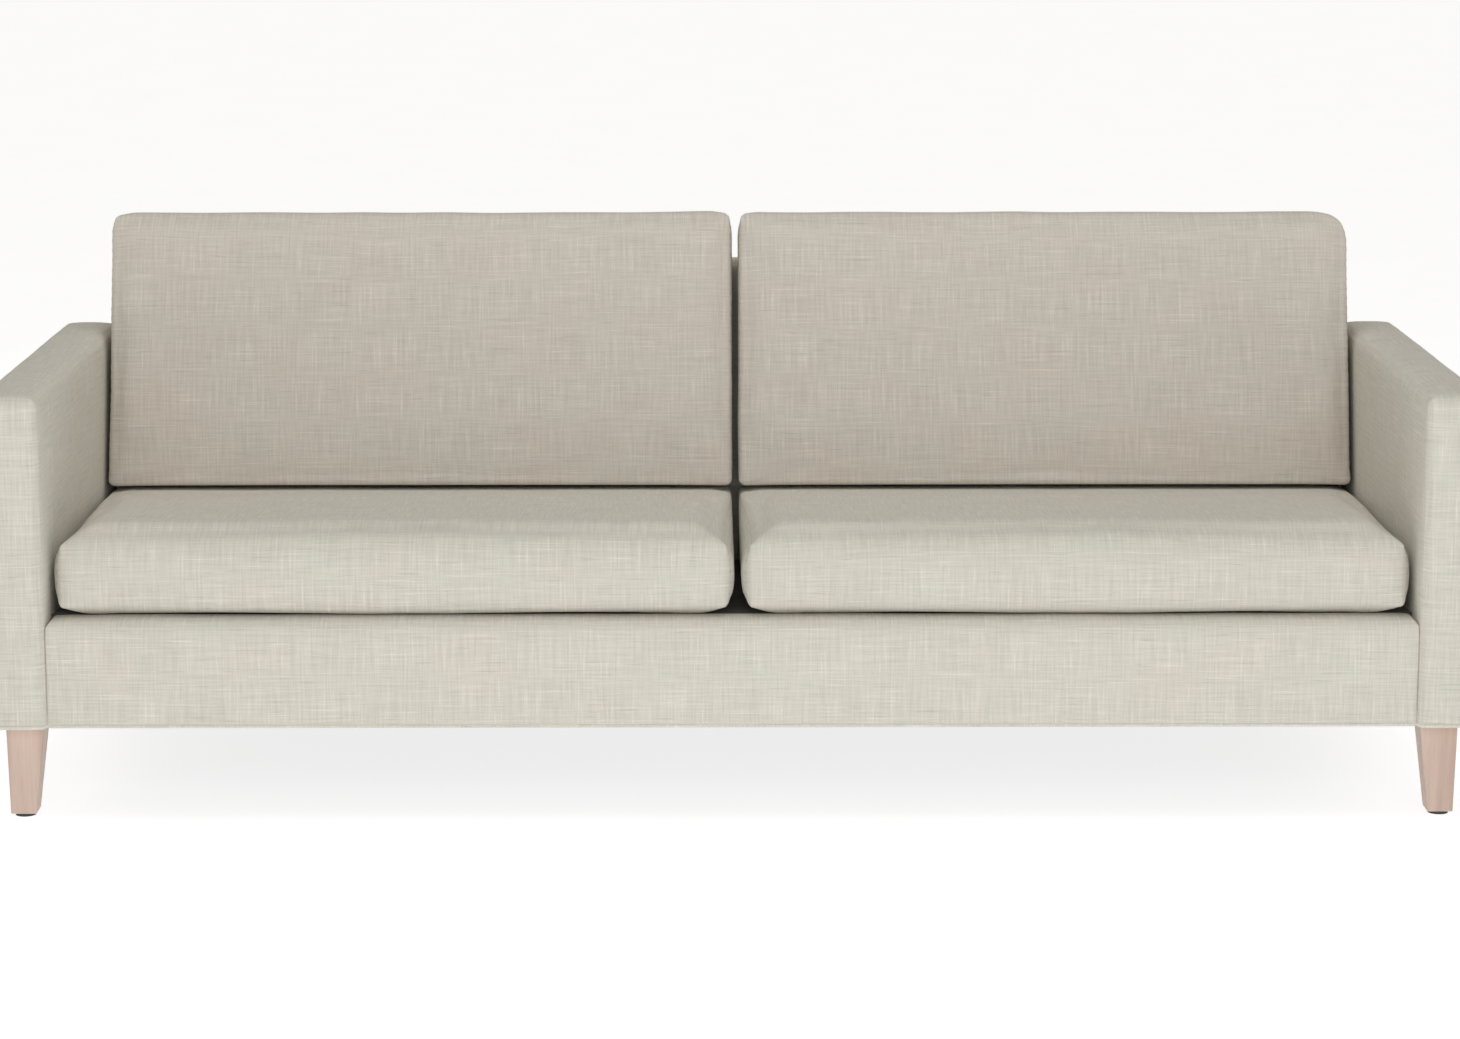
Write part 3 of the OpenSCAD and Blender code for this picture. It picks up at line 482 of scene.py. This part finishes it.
def finer(path, closed):
    """Twice the points of a path, on a smooth curve through them that never strays far from its chords."""
    path = np.array(path)
    before, after, later = np.roll(path, 1, 0), np.roll(path, -1, 0), np.roll(path, -2, 0)
    middle, bend = (path + after) / 2, (path + after - before - later) / 16
    reach = CHORD_SHARE * np.linalg.norm(after - path, axis=1, keepdims=True)
    length = np.linalg.norm(bend, axis=1, keepdims=True)
    middle += bend * np.minimum(1, reach / np.maximum(length, 1e-9))
    if not closed:
        middle[0], middle[-2] = (path[0] + path[1]) / 2, (path[-2] + path[-1]) / 2
    doubled = np.empty((2 * len(path), 3))
    doubled[0::2], doubled[1::2] = path, middle
    return doubled if closed else doubled[:-1]


def welts(name, obj, loops, body, material="seam", sink=0.4):
    """One piece of sewn seams: a welt along each loop of (indices, radius, closed) on obj's surface."""
    co, out = coordinates(obj), normals(obj)
    points, faces = [], []
    for indices, radius, closed in loops:
        path = co[indices] - out[indices] * radius * sink
        found, quads = tube(finer(path, closed), finer(out[indices], closed), radius, closed)
        faces += [tuple(v + len(points) for v in quad) for quad in quads]
        points += list(found)
    uv = None
    if material != "seam":
        uv = [(points[v][X], points[v][Z] + points[v][Y]) for f in faces for v in f]
    made = mesh_object(name, points, faces, MATERIALS[material], uv)
    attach(made, body)


def limited(value, start, limit):
    """value, eased so that it passes start gently and never passes limit. Works towards either side."""
    span = limit - start
    over = (value - start) / span
    return np.where(over > 0, start + span * np.tanh(over), value)


def groove(co, out, indices, depth, width):
    """Draws the surface in along a loop of its own points, a batch at a time to spare memory."""
    line, batch = co[indices], 4000
    pull = np.zeros(len(co))
    for begin in range(0, len(co), batch):
        part = co[begin:begin + batch]
        near = np.sqrt(((part[:, None] - line[None]) ** 2).sum(2).min(1))
        pull[begin:begin + batch] = np.exp(-(near / width) ** 2)
    return co - out * (pull * depth)[:, None]


def crown(form, swell):
    """The move that crowns each flat end of a box; swell is its height at the middle, by axis and end."""
    arch = 1 - (2 * form.share - 1) ** 4
    out = np.where(form.share < 1e-6, -1.0, np.where(form.share > 1 - 1e-6, 1.0, 0.0))
    room = np.where(out < 0, np.array(swell[0]), np.array(swell[1]))
    return out * (arch[:, [Y, X, X]] * arch[:, [Z, Z, Y]]) * room


def shrunk(form, inset):
    """The form's points, taken in by inset at each end."""
    middle = form.size / 2
    return middle + (form.points - middle) * (1 - 2 * inset / form.size)


# ---------- cushions ----------
SIM_FRAMES = 20
# The simulation may swell a cover by SIM_CAP, pull it in by PULL_IN, and shift it sideways by a share of SLIP
SIM_CAP = 0.026
PULL_IN = 0.0015
SLIP = 0.12
# How far inside its form a cover starts, by axis
SHRINK = np.array([0.0005, 0.0035, 0.0035])
# A seam draws the cloth in by a depth over a width, SEAM_INSET lattice steps in from the side's edge
SEAM_RADIUS, SEAM_DEPTH, SEAM_WIDTH, SEAM_INSET = 1.1 * MM, 1.6 * MM, 0.007, 3
# Creases: cycles per metre and height
CREASES, FINE_CREASES = (9, 1.3), (26, 0.45)
SIDE_EASE, SIDE_SWELL = 0.004, 0.0016
FOAM_INSET = 0.010


def inflated(obj, points):
    """The cushion's cover after air pressure fills it. It swells up to a cap; foam holds its edges out."""
    scene = bpy.context.scene
    out = normals(obj)
    scene.frame_start, scene.frame_end = 1, SIM_FRAMES
    modifier = obj.modifiers.new("Cloth", "CLOTH")
    settings = modifier.settings
    settings.quality = 5
    settings.mass = 0.3
    settings.tension_stiffness = settings.compression_stiffness = 18
    settings.shear_stiffness = 8
    settings.bending_stiffness = 1.5
    settings.use_pressure = True
    settings.uniform_pressure_force = 4
    settings.effector_weights.gravity = 0
    modifier.collision_settings.use_collision = False
    modifier.collision_settings.use_self_collision = False
    modifier.point_cache.frame_start, modifier.point_cache.frame_end = 1, SIM_FRAMES
    for step in range(1, SIM_FRAMES + 1):
        scene.frame_set(step)
    move = coordinates(obj.evaluated_get(bpy.context.evaluated_depsgraph_get())) - points
    obj.modifiers.clear()
    scene.frame_set(1)
    swell = (move * out).sum(1, keepdims=True)
    slip = (move - swell * out) * SLIP
    swell = np.where(swell > 0, SIM_CAP * np.tanh(swell / SIM_CAP), PULL_IN * np.tanh(swell / SIM_CAP))
    return points + out * swell + slip


def kept_within(co, limits, begin_share=0.0):
    """Eases points into their room. A limit is (axis, where easing begins, number or function of points)."""
    for axis, begin, limit in limits:
        bound = limit(co) if callable(limit) else limit
        co[:, axis] = limited(co[:, axis], begin + (bound - begin) * begin_share, bound)


def cushion(name, body, node, space, form, place, limits, slot, seed):
    """A stuffed cushion: filled, kept to its room, sewn and softly creased. place maps its box into space."""
    start = shrunk(form, SHRINK)
    made = mesh_object(name, start, form.quads, MATERIALS[slot], form.cloth_uv(seed * 0.71))
    filled = inflated(made, start)
    kept_within(filled, limits)
    set_coordinates(made, filled)
    subdivided(made)
    co, out = coordinates(made), normals(made)
    ripple = (wavy(co, CREASES[0], seed) * CREASES[1] * MM
              + wavy(co * np.array([0.6, 1.4, 1.4]), FINE_CREASES[0], seed + 5) * FINE_CREASES[1] * MM)
    rise = np.clip((co[:, Z] - 0.004) / 0.03, 0, 1)
    co = co + out * (ripple * rise)[:, None]
    side_seams = [form.ring(X, step, inset=SEAM_INSET) for step in (0, form.n[X])]
    for seam in side_seams:
        co = groove(co, out, seam, SEAM_DEPTH, SEAM_WIDTH)
    kept_within(co, limits, begin_share=0.5)
    set_coordinates(made, [space @ Vector(p) for p in place(co)])
    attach(made, body)
    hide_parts(node)
    welts(name + "_seams", made, [(seam, SEAM_RADIUS, True) for seam in side_seams], body)


def zipper(name, body, node, space):
    """Two tapes with interlocking teeth, in space: x along the zip, z out of the cover."""
    low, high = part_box(node)
    half = (high.x - low.x) / 2
    tape_w, coil_w, tooth, overlap, lift = 0.013, 0.0024, 0.0030, 0.0007, 0.0003
    tapes = [np.sort([(-half, sign * lift, -COVER_T), (half, sign * tape_w, -lift)], axis=0)
             for sign in (-1, 1)]
    teeth, x, turn = [], -half + 0.002, 0
    while x < half - 0.002:
        y0, y1 = (-coil_w, overlap) if turn % 2 else (-overlap, coil_w)
        teeth.append(np.array([(x, y0, -lift), (x + tooth * 0.62, y1, 0.0016)]))
        x, turn = x + tooth * 0.5 + 0.0006, turn + 1
    for suffix, boxes, kind, bevel in (("", tapes, "zip_tape", 0.0), ("_teeth", teeth, "zip_metal", 0.25)):
        points, faces = [], []
        for lo, hi in boxes:
            base = len(points)
            for z, inset in ((lo[Z], (hi - lo) * 0), (hi[Z], (hi - lo) * bevel)):
                x0, y0, x1, y1 = lo[X] + inset[X], lo[Y] + inset[Y], hi[X] - inset[X], hi[Y] - inset[Y]
                points += [(x0, y0, z), (x1, y0, z), (x1, y1, z), (x0, y1, z)]
            faces += [tuple(base + v for v in f) for f in ((0, 3, 2, 1), (4, 5, 6, 7), (0, 1, 5, 4),
                                                           (1, 2, 6, 5), (2, 3, 7, 6), (3, 0, 4, 7))]
        made = mesh_object(name + suffix, [space @ Vector(p) for p in points], faces, MATERIALS[kind],
                           flat_shading=True)
        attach(made, body)
        if not suffix:
            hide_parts(node)


def foam_body(name, node, body, form, place, space, inset):
    """The foam inside a cover: the cover's own form, taken in all round."""
    points = place(shrunk(form, inset))
    made = mesh_object(name, [space @ Vector(p) for p in points], form.quads, MATERIALS["foam"])
    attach(made, body)
    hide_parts(node)


def seat_cushion(side, seed):
    x0, x1 = SEAT_X[side]
    width, height = x1 - x0, SEAT_TOP - SEAT_FOOT
    form = SoftBox((width, SEAT_DEPTH, height), cell=0.016, edge=0.012, radius=0.014)
    towards_front = 1 - smooth(np.clip(form.share[:, Y] / 0.95, 0, 1))
    form.arc("front", "top", 0.050).arc("front", "bottom", 0.031)
    for end in ("left", "right"):
        form.arc(end, "top", 0.060, towards_front).arc(end, "bottom", 0.042, towards_front)
        form.arc(end, "front", 0.036).arc(end, "rear", 0.016)
    # The top's crown, the line where the back cushion begins, and how far before it the crown starts to fade
    crown_rise, back_line, fade_length = 0.011, 0.525, 0.16
    front_swell, rear_gap = 0.0045, 0.0012

    def top_room(p):
        """The top may crown in front of the back cushion and stays flat under it."""
        return height + crown_rise * smooth(np.clip((back_line - p[:, Y]) / fade_length, 0, 1))

    limits = [(Z, 0.006, 0.0), (Z, height - 0.012, top_room),
              (X, SIDE_EASE, -SIDE_SWELL), (X, width - SIDE_EASE, width + SIDE_SWELL),
              (Y, 0.004, -front_swell), (Y, SEAT_DEPTH - 0.008, SEAT_DEPTH - rear_gap)]
    name, body = f"seat_{side}", f"seat_cushion_{side}"
    space = DECK @ Matrix.Translation((x0, 0, SEAT_FOOT))
    cushion(f"{name}_cushion", body, f"{name}_cover", space, form, lambda p: p, limits, "upholstery", seed)
    foam_body(f"{name}_foam", f"{name}_core", body, form, lambda p: p, space, FOAM_INSET)
    middle = Matrix.Translation(((x0 + x1) / 2, SEAT_DEPTH, SEAT_FOOT + height / 2))
    zipper(f"{name}_zip_tape", body, f"{name}_zip", DECK @ middle @ Matrix.Rotation(-math.pi / 2, 4, "X"))


def back_cushion(side, seed):
    x0, x1 = SEAT_X[side]
    width, depth, height = x1 - x0, BACK_REAR - BACK_FACE, BACK_TOP - BACK_FOOT_FRONT
    form = SoftBox((width, depth, height), cell=0.016, edge=0.012, radius=0.012)
    form.arc("front", "top", 0.034)
    # The photo's upper corners differ: only the right cushion's outer one is widely rounded
    for end, corner in zip(("left", "right"), (0.038, 0.030) if side == "left" else (0.030, 0.058)):
        form.arc(end, "top", corner).arc(end, "front", 0.016)
    # The face swells by face_swell, reached this far above the foot
    face_swell, face_rise, top_swell = 0.013, 0.12, 0.006

    def place(p):
        """The foot slopes with the deck; the rest stays as it is."""
        foot = (BACK_FOOT_REAR - BACK_FOOT_FRONT) * p[:, Y] / depth
        return np.column_stack([p[:, X], p[:, Y], p[:, Z] + foot * (1 - p[:, Z] / height)])

    def face_room(p):
        """The face swells less near its foot."""
        return -face_swell * smooth(np.clip(p[:, Z] / face_rise, 0, 1))

    limits = [(Z, 0.004, 0.0), (Z, height - 0.006, height + top_swell),
              (X, SIDE_EASE, -SIDE_SWELL), (X, width - SIDE_EASE, width + SIDE_SWELL),
              (Y, 0.006, face_room), (Y, depth - 0.006, depth)]
    name, body = f"back_{side}", f"back_cushion_{side}"
    space = BACK @ Matrix.Translation((x0, BACK_FACE, BACK_FOOT_FRONT))
    cushion(f"{name}_cushion", body, f"{name}_cover", space, form, place, limits, "back_upholstery", seed)
    foam_body(f"{name}_foam", f"{name}_core", body, form, place, space, FOAM_INSET)
    middle = Matrix.Translation(((x0 + x1) / 2, BACK_ZIP_Y, SEAT_TOP + 0.0003))
    zipper(f"{name}_zip_tape", body, f"{name}_zip", DECK @ middle @ Matrix.Rotation(math.pi, 4, "X"))


# ---------- upholstered frame ----------
# The cloth's folded bottom edge stands out by HEM, fading up to HEM_HEIGHT
HEM, HEM_HEIGHT = 1.6 * MM, 0.03
# How far the cloth lies off its padding, and how high its ripples are
OFF_PADDING = 0.9 * MM
RIPPLE = 0.7 * MM
# Radii of the rolled bottom edges and of the seams. A loop is a roll from ROLL_FROM up, and a seam below it
ARM_ROLL, EDGE_ROLL, ROLL_FROM = 3.2 * MM, 3.0 * MM, 2 * MM
ARM_SEAM, BACK_SEAM, MIDDLE_SEAM = 1.0 * MM, 1.1 * MM, 1.0 * MM
FRAME_SEAM_DEPTH, FRAME_SEAM_WIDTH = 1.0 * MM, 0.006


def upholstered(name, node, form, place, swell, seed, loops, mirrored=False):
    """A padded part of the frame: a soft form with a slight crown, and its sewn or rolled edges.

    swell is the crown's height in millimetres at each axis's near end, then at its far end.
    A loop is (indices, radius, closed). mirrored says that place turns the form inside out.
    """
    made = mesh_object(name, form.points, form.quads, MATERIALS["upholstery"], form.cloth_uv(seed * 0.53))
    set_coordinates(made, form.points + crown(form, np.array(swell) * MM))
    subdivided(made)
    co, away = coordinates(made), normals(made)
    rise = np.clip((co[:, Z] - 0.003) / 0.03, 0, 1)
    waves = wavy(co, 8, seed) * RIPPLE + wavy(co, 23, seed + 2) * RIPPLE * 0.4
    waves = np.maximum(waves, -0.3 * RIPPLE)
    co = co + away * (OFF_PADDING + waves * rise)[:, None]
    near_foot = 1 - smooth(np.clip(co[:, Z] / HEM_HEIGHT, 0, 1))
    co = co + away * np.array([1, 1, 0]) * (HEM * near_foot)[:, None]
    rolls = [loop for loop in loops if loop[1] >= ROLL_FROM]
    seams = [loop for loop in loops if loop[1] < ROLL_FROM]
    for indices, _, _ in seams:
        co = groove(co, away, indices, FRAME_SEAM_DEPTH, FRAME_SEAM_WIDTH)
    set_coordinates(made, place(co))
    if mirrored:
        made.data.flip_normals()
        made.data.update()
    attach(made, "root")
    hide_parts(node)
    welts(name + "_roll", made, rolls, "root", "upholstery", sink=0.55)
    if seams:
        welts(name + "_seams", made, seams, "root")


def arm(side, seed):
    form = SoftBox(ARM_HI - ARM_LO, cell=0.016, edge=0.012, radius=0.003)
    form.arc("front", "top", 0.020).arc("rear", "top", 0.030)
    for end in ("left", "right"):
        form.arc(end, "top", 0.020).arc(end, "front", 0.020).arc(end, "rear", 0.020)
    nx, ny, _ = form.n

    def place(p):
        q = p + np.array(ARM_LO)
        if side == "left":
            q[:, X] = -q[:, X]
        return q

    loops = [(form.ring(Z, step=1), ARM_ROLL, True), (form.ring(X, step=nx, inset=3), ARM_SEAM, True),
             (form.row(Z, x=nx // 2, y=ny), MIDDLE_SEAM, False)]
    upholstered(f"arm_{side}", f"arm_{side}_cover", form, place, ((1.2, 3.0, 0.0), (3.5, 3.0, 3.5)), seed,
                loops, mirrored=side == "left")


def front_rail(seed):
    form = SoftBox(RAIL_HI - RAIL_LO, cell=0.016, edge=0.010, radius=0.004)
    form.arc("front", "top", 0.020)
    for end in ("left", "right"):
        form.arc(end, "top", 0.017)
    loops = [(form.row(X, y=0, z=1), EDGE_ROLL, False)]
    upholstered("front_rail", "front_rail_cover", form, lambda p: p + np.array(RAIL_LO),
                ((0.0, 2.6, 0.0), (0.0, 0.0, 0.6)), seed, loops)
    foam_body("front_rail_padding", "front_rail_foam", "root", form, lambda p: p, Matrix.Translation(RAIL_LO),
              inset=0.006)


def back_panel(seed):
    """The padded back: its section leans and thins towards the top."""
    front, foot, top_front, top_rear = BACK_LO.y, FRONT_Y + 0.808, FRONT_Y + 0.8236, FRONT_Y + 0.8884
    low, high = BACK_LO.z, BACK_HI.z
    bend = high - (top_front - front) / math.tan(BACK_LEAN)
    thick = top_rear - top_front
    form = SoftBox((BACK_HI.x - BACK_LO.x, thick, high - low), cell=0.018, edge=0.012, radius=0.004)
    form.arc("front", "top", 0.018).arc("rear", "top", 0.024)

    def place(p):
        z = p[:, Z] + low
        face = front + np.clip(z - bend, 0, None) * math.tan(BACK_LEAN)
        rear = foot + (top_rear - foot) * (z - low) / (high - low)
        behind = np.clip(p[:, Y], 0, None) / thick
        return np.column_stack([p[:, X] + BACK_LO.x, face + behind * (rear - face), z])

    nx, ny, _ = form.n
    loops = [(form.ring(Y, step=ny, inset=3), BACK_SEAM, True),
             (form.row(Z, x=nx // 2, y=ny), MIDDLE_SEAM, False), (form.row(X, y=ny, z=1), EDGE_ROLL, False)]
    upholstered("back_panel", "back_cover", form, place, ((0.0, 0.0, 0.0), (0.0, 2.5, 2.5)), seed, loops)


# ---------- flat cloths ----------
def sheet_grid(name, material, lo, hi, height, cell, thickness):
    """A thin cloth over a rectangle, its height given at each point."""
    nx, ny = max(2, round((hi[0] - lo[0]) / cell)), max(2, round((hi[1] - lo[1]) / cell))
    xs, ys = np.linspace(lo[0], hi[0], nx + 1), np.linspace(lo[1], hi[1], ny + 1)
    points = [(x, y, height(x, y) - t) for t in (0, thickness) for y in ys for x in xs]
    wide = nx + 1
    count = wide * (ny + 1)
    faces = []
    for j in range(ny):
        for a in range(j * wide, j * wide + nx):
            quad = (a, a + 1, a + wide + 1, a + wide)
            faces += [quad, tuple(v + count for v in reversed(quad))]
    rim = list(range(wide)) + [j * wide + nx for j in range(1, ny + 1)]
    rim += [ny * wide + i for i in range(nx - 1, -1, -1)] + [j * wide for j in range(ny - 1, 0, -1)]
    for a, b in zip(rim, rim[1:] + rim[:1]):
        faces.append((b, a, a + count, b + count))
    uv = [points[v][:2] for f in faces for v in f]
    return mesh_object(name, points, faces, MATERIALS[material], uv)


def from_edge(x, y, lo, hi, fade):
    """0 at a rectangle's edge, easing to 1 at fade inside it."""
    return smooth(min(1.0, max(0.0, min(x - lo[0], hi[0] - x, y - lo[1], hi[1] - y) / fade)))


# The deck cloth in the deck's frame, the felt pad under it, and the dust cloth
DECK_LO, DECK_HI = (-(INNER_X - 0.0005), 0.043), (INNER_X - 0.0005, 0.666)
DECK_CLOTH_T, PAD_T, DUST_CLOTH_T = 0.0011, 0.0086, 0.0009
PAD_MARGIN, PAD_DROP, PAD_FILL = 0.002, 0.0014, 0.9
DECK_SAG, DUST_SAG = 0.0024, 0.008


def deck_height(x, y):
    sag = 0.6 + 0.5 * noise.noise(Vector((x * 5, y * 5, 0.3)))
    return -(0.0004 + DECK_SAG * sag * from_edge(x, y, DECK_LO, DECK_HI, fade=0.06))


def dust_height(x, y):
    sag = 0.7 + 0.6 * noise.noise(Vector((x * 2.2, y * 2.2, 4.1)))
    ripple = 0.0007 * noise.noise(Vector((x * 11, y * 3, 7.7)))
    return DUST_HI.z - 0.0002 - DUST_SAG * sag * from_edge(x, y, DUST_LO, DUST_HI, fade=0.10) + ripple


def deck_and_dust_cover():
    """The cloth under the cushions, the felt pad below it, and the black cloth tacked on underneath."""
    deck = sheet_grid("deck_cloth", "deck_cloth", DECK_LO, DECK_HI, deck_height, 0.016, DECK_CLOTH_T)
    pad_lo, pad_hi = [v + PAD_MARGIN for v in DECK_LO], [v - PAD_MARGIN for v in DECK_HI]
    pad = sheet_grid("spring_pad_felt", "felt", pad_lo, pad_hi, lambda x, y: deck_height(x, y) - PAD_DROP,
                     0.020, PAD_T)
    for made in (deck, pad):
        set_coordinates(made, [DECK @ Vector(p) for p in coordinates(made)])
    dust = sheet_grid("dust_cloth", "dust_cloth", DUST_LO[:2], DUST_HI[:2], dust_height, 0.020, DUST_CLOTH_T)
    for made, node, kind in ((deck, "deck_cover", "deck_cloth"), (pad, "spring_pad", "felt"),
                             (dust, "dust_cover", "dust_cloth")):
        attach(made, "root")
        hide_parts(node)
    staple_row()


def staple_row():
    """Wire staples along the dust cloth's four edges."""
    half, prong, wire, inset, pitch = 0.0055, 0.0006, 0.0006, 0.012, 0.055
    x0, y0, x1, y1 = DUST_LO.x + inset, DUST_LO.y + inset, DUST_HI.x - inset, DUST_HI.y - inset
    spots = []
    for x in np.arange(x0 + pitch / 2, x1, pitch):
        spots += [(x, y0, 0.0), (x, y1, 0.0)]
    for y in np.arange(y0 + pitch, y1 - pitch / 2, pitch):
        spots += [(x0, y, math.pi / 2), (x1, y, math.pi / 2)]
    points, faces = [], []
    for x, y, turn in spots:
        skew = turn + 0.25 * noise.noise(Vector((x * 31, y * 17, 2.2)))
        level = dust_height(x, y) - DUST_CLOTH_T
        path = [(-half, 0, prong), (-half, 0, -wire), (0, 0, -wire * 1.3), (half, 0, -wire), (half, 0, prong)]
        path = [Matrix.Rotation(skew, 3, "Z") @ Vector(p) + Vector((x, y, level)) for p in path]
        aside = Matrix.Rotation(skew, 3, "Z") @ Vector((0, 1, 0))
        found, quads = tube([tuple(v) for v in path], [tuple(aside)] * len(path), wire, closed=False, sides=5)
        faces += [tuple(v + len(points) for v in quad) for quad in quads]
        points += list(found)
    made = mesh_object("dust_cloth_staples", points, faces, MATERIALS["bare_steel"])
    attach(made, "root")
    return made


# ---------- legs ----------
# A leg's two faces at its foot, from its corner nearest the middle of the front, by axis
FOOT_X, FOOT_Y = (0.016, 0.053), (0.003, 0.040)
# A front leg's y and its rear leg's add up to this
LEG_MIRROR = 2 * FRONT_Y + 0.820


def leg(name, sign_x, rear):
    """A square leg, tapered inwards to its foot, with eased edges."""
    size = LEG_HI - LEG_LO
    form = SoftBox(size, cell=0.010, edge=0.0025, radius=0.0022)
    made = mesh_object(name + "_wood", form.points, form.quads, MATERIALS["leg_wood"])

    def place(p):
        down = 1 - (p[:, Z] + LEG_LO.z) / LEG_HI.z
        x, y = p[:, X] / size.x, p[:, Y] / size.y
        px = LEG_LO.x + size.x * x + down * (FOOT_X[0] * (1 - x) + (FOOT_X[1] - size.x) * x)
        py = LEG_LO.y + size.y * y + down * (FOOT_Y[0] * (1 - y) + (FOOT_Y[1] - size.y) * y)
        if rear:
            py = LEG_MIRROR - py
        return np.column_stack([px * sign_x, py, p[:, Z] + LEG_LO.z])

    set_coordinates(made, place(form.points))
    if (sign_x < 0) != rear:
        made.data.flip_normals()
    subdivided(made)
    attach(made, "root")
    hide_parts(name)


# Each piece has a seed of its own, so that no two carry the same creases
for number, side_name in enumerate(("left", "right")):
    seat_cushion(side_name, seed=3.0 + 4 * number)
    back_cushion(side_name, seed=11.0 + 5 * number)
    arm(side_name, seed=21.0 + 3 * number)
front_rail(seed=31.0)
back_panel(seed=37.0)
deck_and_dust_cover()
for end in ("front", "rear"):
    for side_name, sign in (("left", -1), ("right", 1)):
        leg(f"leg_{end}_{side_name}", sign, rear=end == "rear")

# ---------- room ----------
FLOOR_REACH, FLOOR_GLOW = 40.0, 0.80
FLOOR_TONES = (0.44, 0.44, 0.44), (0.47, 0.47, 0.47)
floor_shader = Shader("PaleFloor", rough=0.9, specular=0.1)
dapple = floor_shader.ranged(floor_shader.pattern((3, 3, 3), detail=2.0), 0.3, 0.7)
floor_shader.surface.inputs["Emission Color"].default_value = (1, 1, 1, 1)
floor_shader.surface.inputs["Emission Strength"].default_value = FLOOR_GLOW
floor_corners = [(x * FLOOR_REACH, y * FLOOR_REACH, 0) for x, y in ((-1, -1), (1, -1), (1, 1), (-1, 1))]
floor = mesh_object("floor", floor_corners, [(0, 1, 2, 3)],
                    floor_shader.colour(floor_shader.mixed(dapple, *FLOOR_TONES)))


def softbox(name, place, aim, width, height, power, tint=(1, 1, 1)):
    """A rectangular studio light, aimed at a point."""
    light = bpy.data.lights.new(name, "AREA")
    light.shape, light.size, light.size_y = "RECTANGLE", width, height
    light.energy, light.color = power, tint
    lamp = bpy.data.objects.new(name, light)
    bpy.context.scene.collection.objects.link(lamp)
    lamp.location = place
    lamp.rotation_euler = (Vector(aim) - Vector(place)).to_track_quat("-Z", "Y").to_euler()


softbox("front_light", place=(0.2, -4.6, 1.8), aim=(0, 0, 0.45), width=4.5, height=2.4, power=71.5,
        tint=(0.985, 1.0, 1.03))
softbox("top_light", place=(0.0, -0.4, 4.2), aim=(0, -0.1, 0), width=4.0, height=3.0, power=46)
SKY_COLOUR, SKY_STRENGTH = (1, 0.97, 0.91, 1), 0.34
world = bpy.data.worlds.new("Studio")
world.use_nodes = True
background = world.node_tree.nodes["Background"]
background.inputs["Color"].default_value = SKY_COLOUR
background.inputs["Strength"].default_value = SKY_STRENGTH
bpy.context.scene.world = world

LENS_MM, SENSOR_MM = 95.2, 36.0
CAMERA_PLACE, CAMERA_DOWN, CAMERA_TURN = (-0.039, -5.919, 1.488), 10.72, -0.364
lens = bpy.data.cameras.new("camera")
lens.lens, lens.sensor_width = LENS_MM, SENSOR_MM
camera = bpy.data.objects.new("camera", lens)
camera.location = CAMERA_PLACE
camera.rotation_euler = (math.radians(90 - CAMERA_DOWN), 0, math.radians(CAMERA_TURN))
bpy.context.scene.collection.objects.link(camera)
bpy.context.scene.camera = camera
bpy.context.scene.view_settings.view_transform = "Standard"
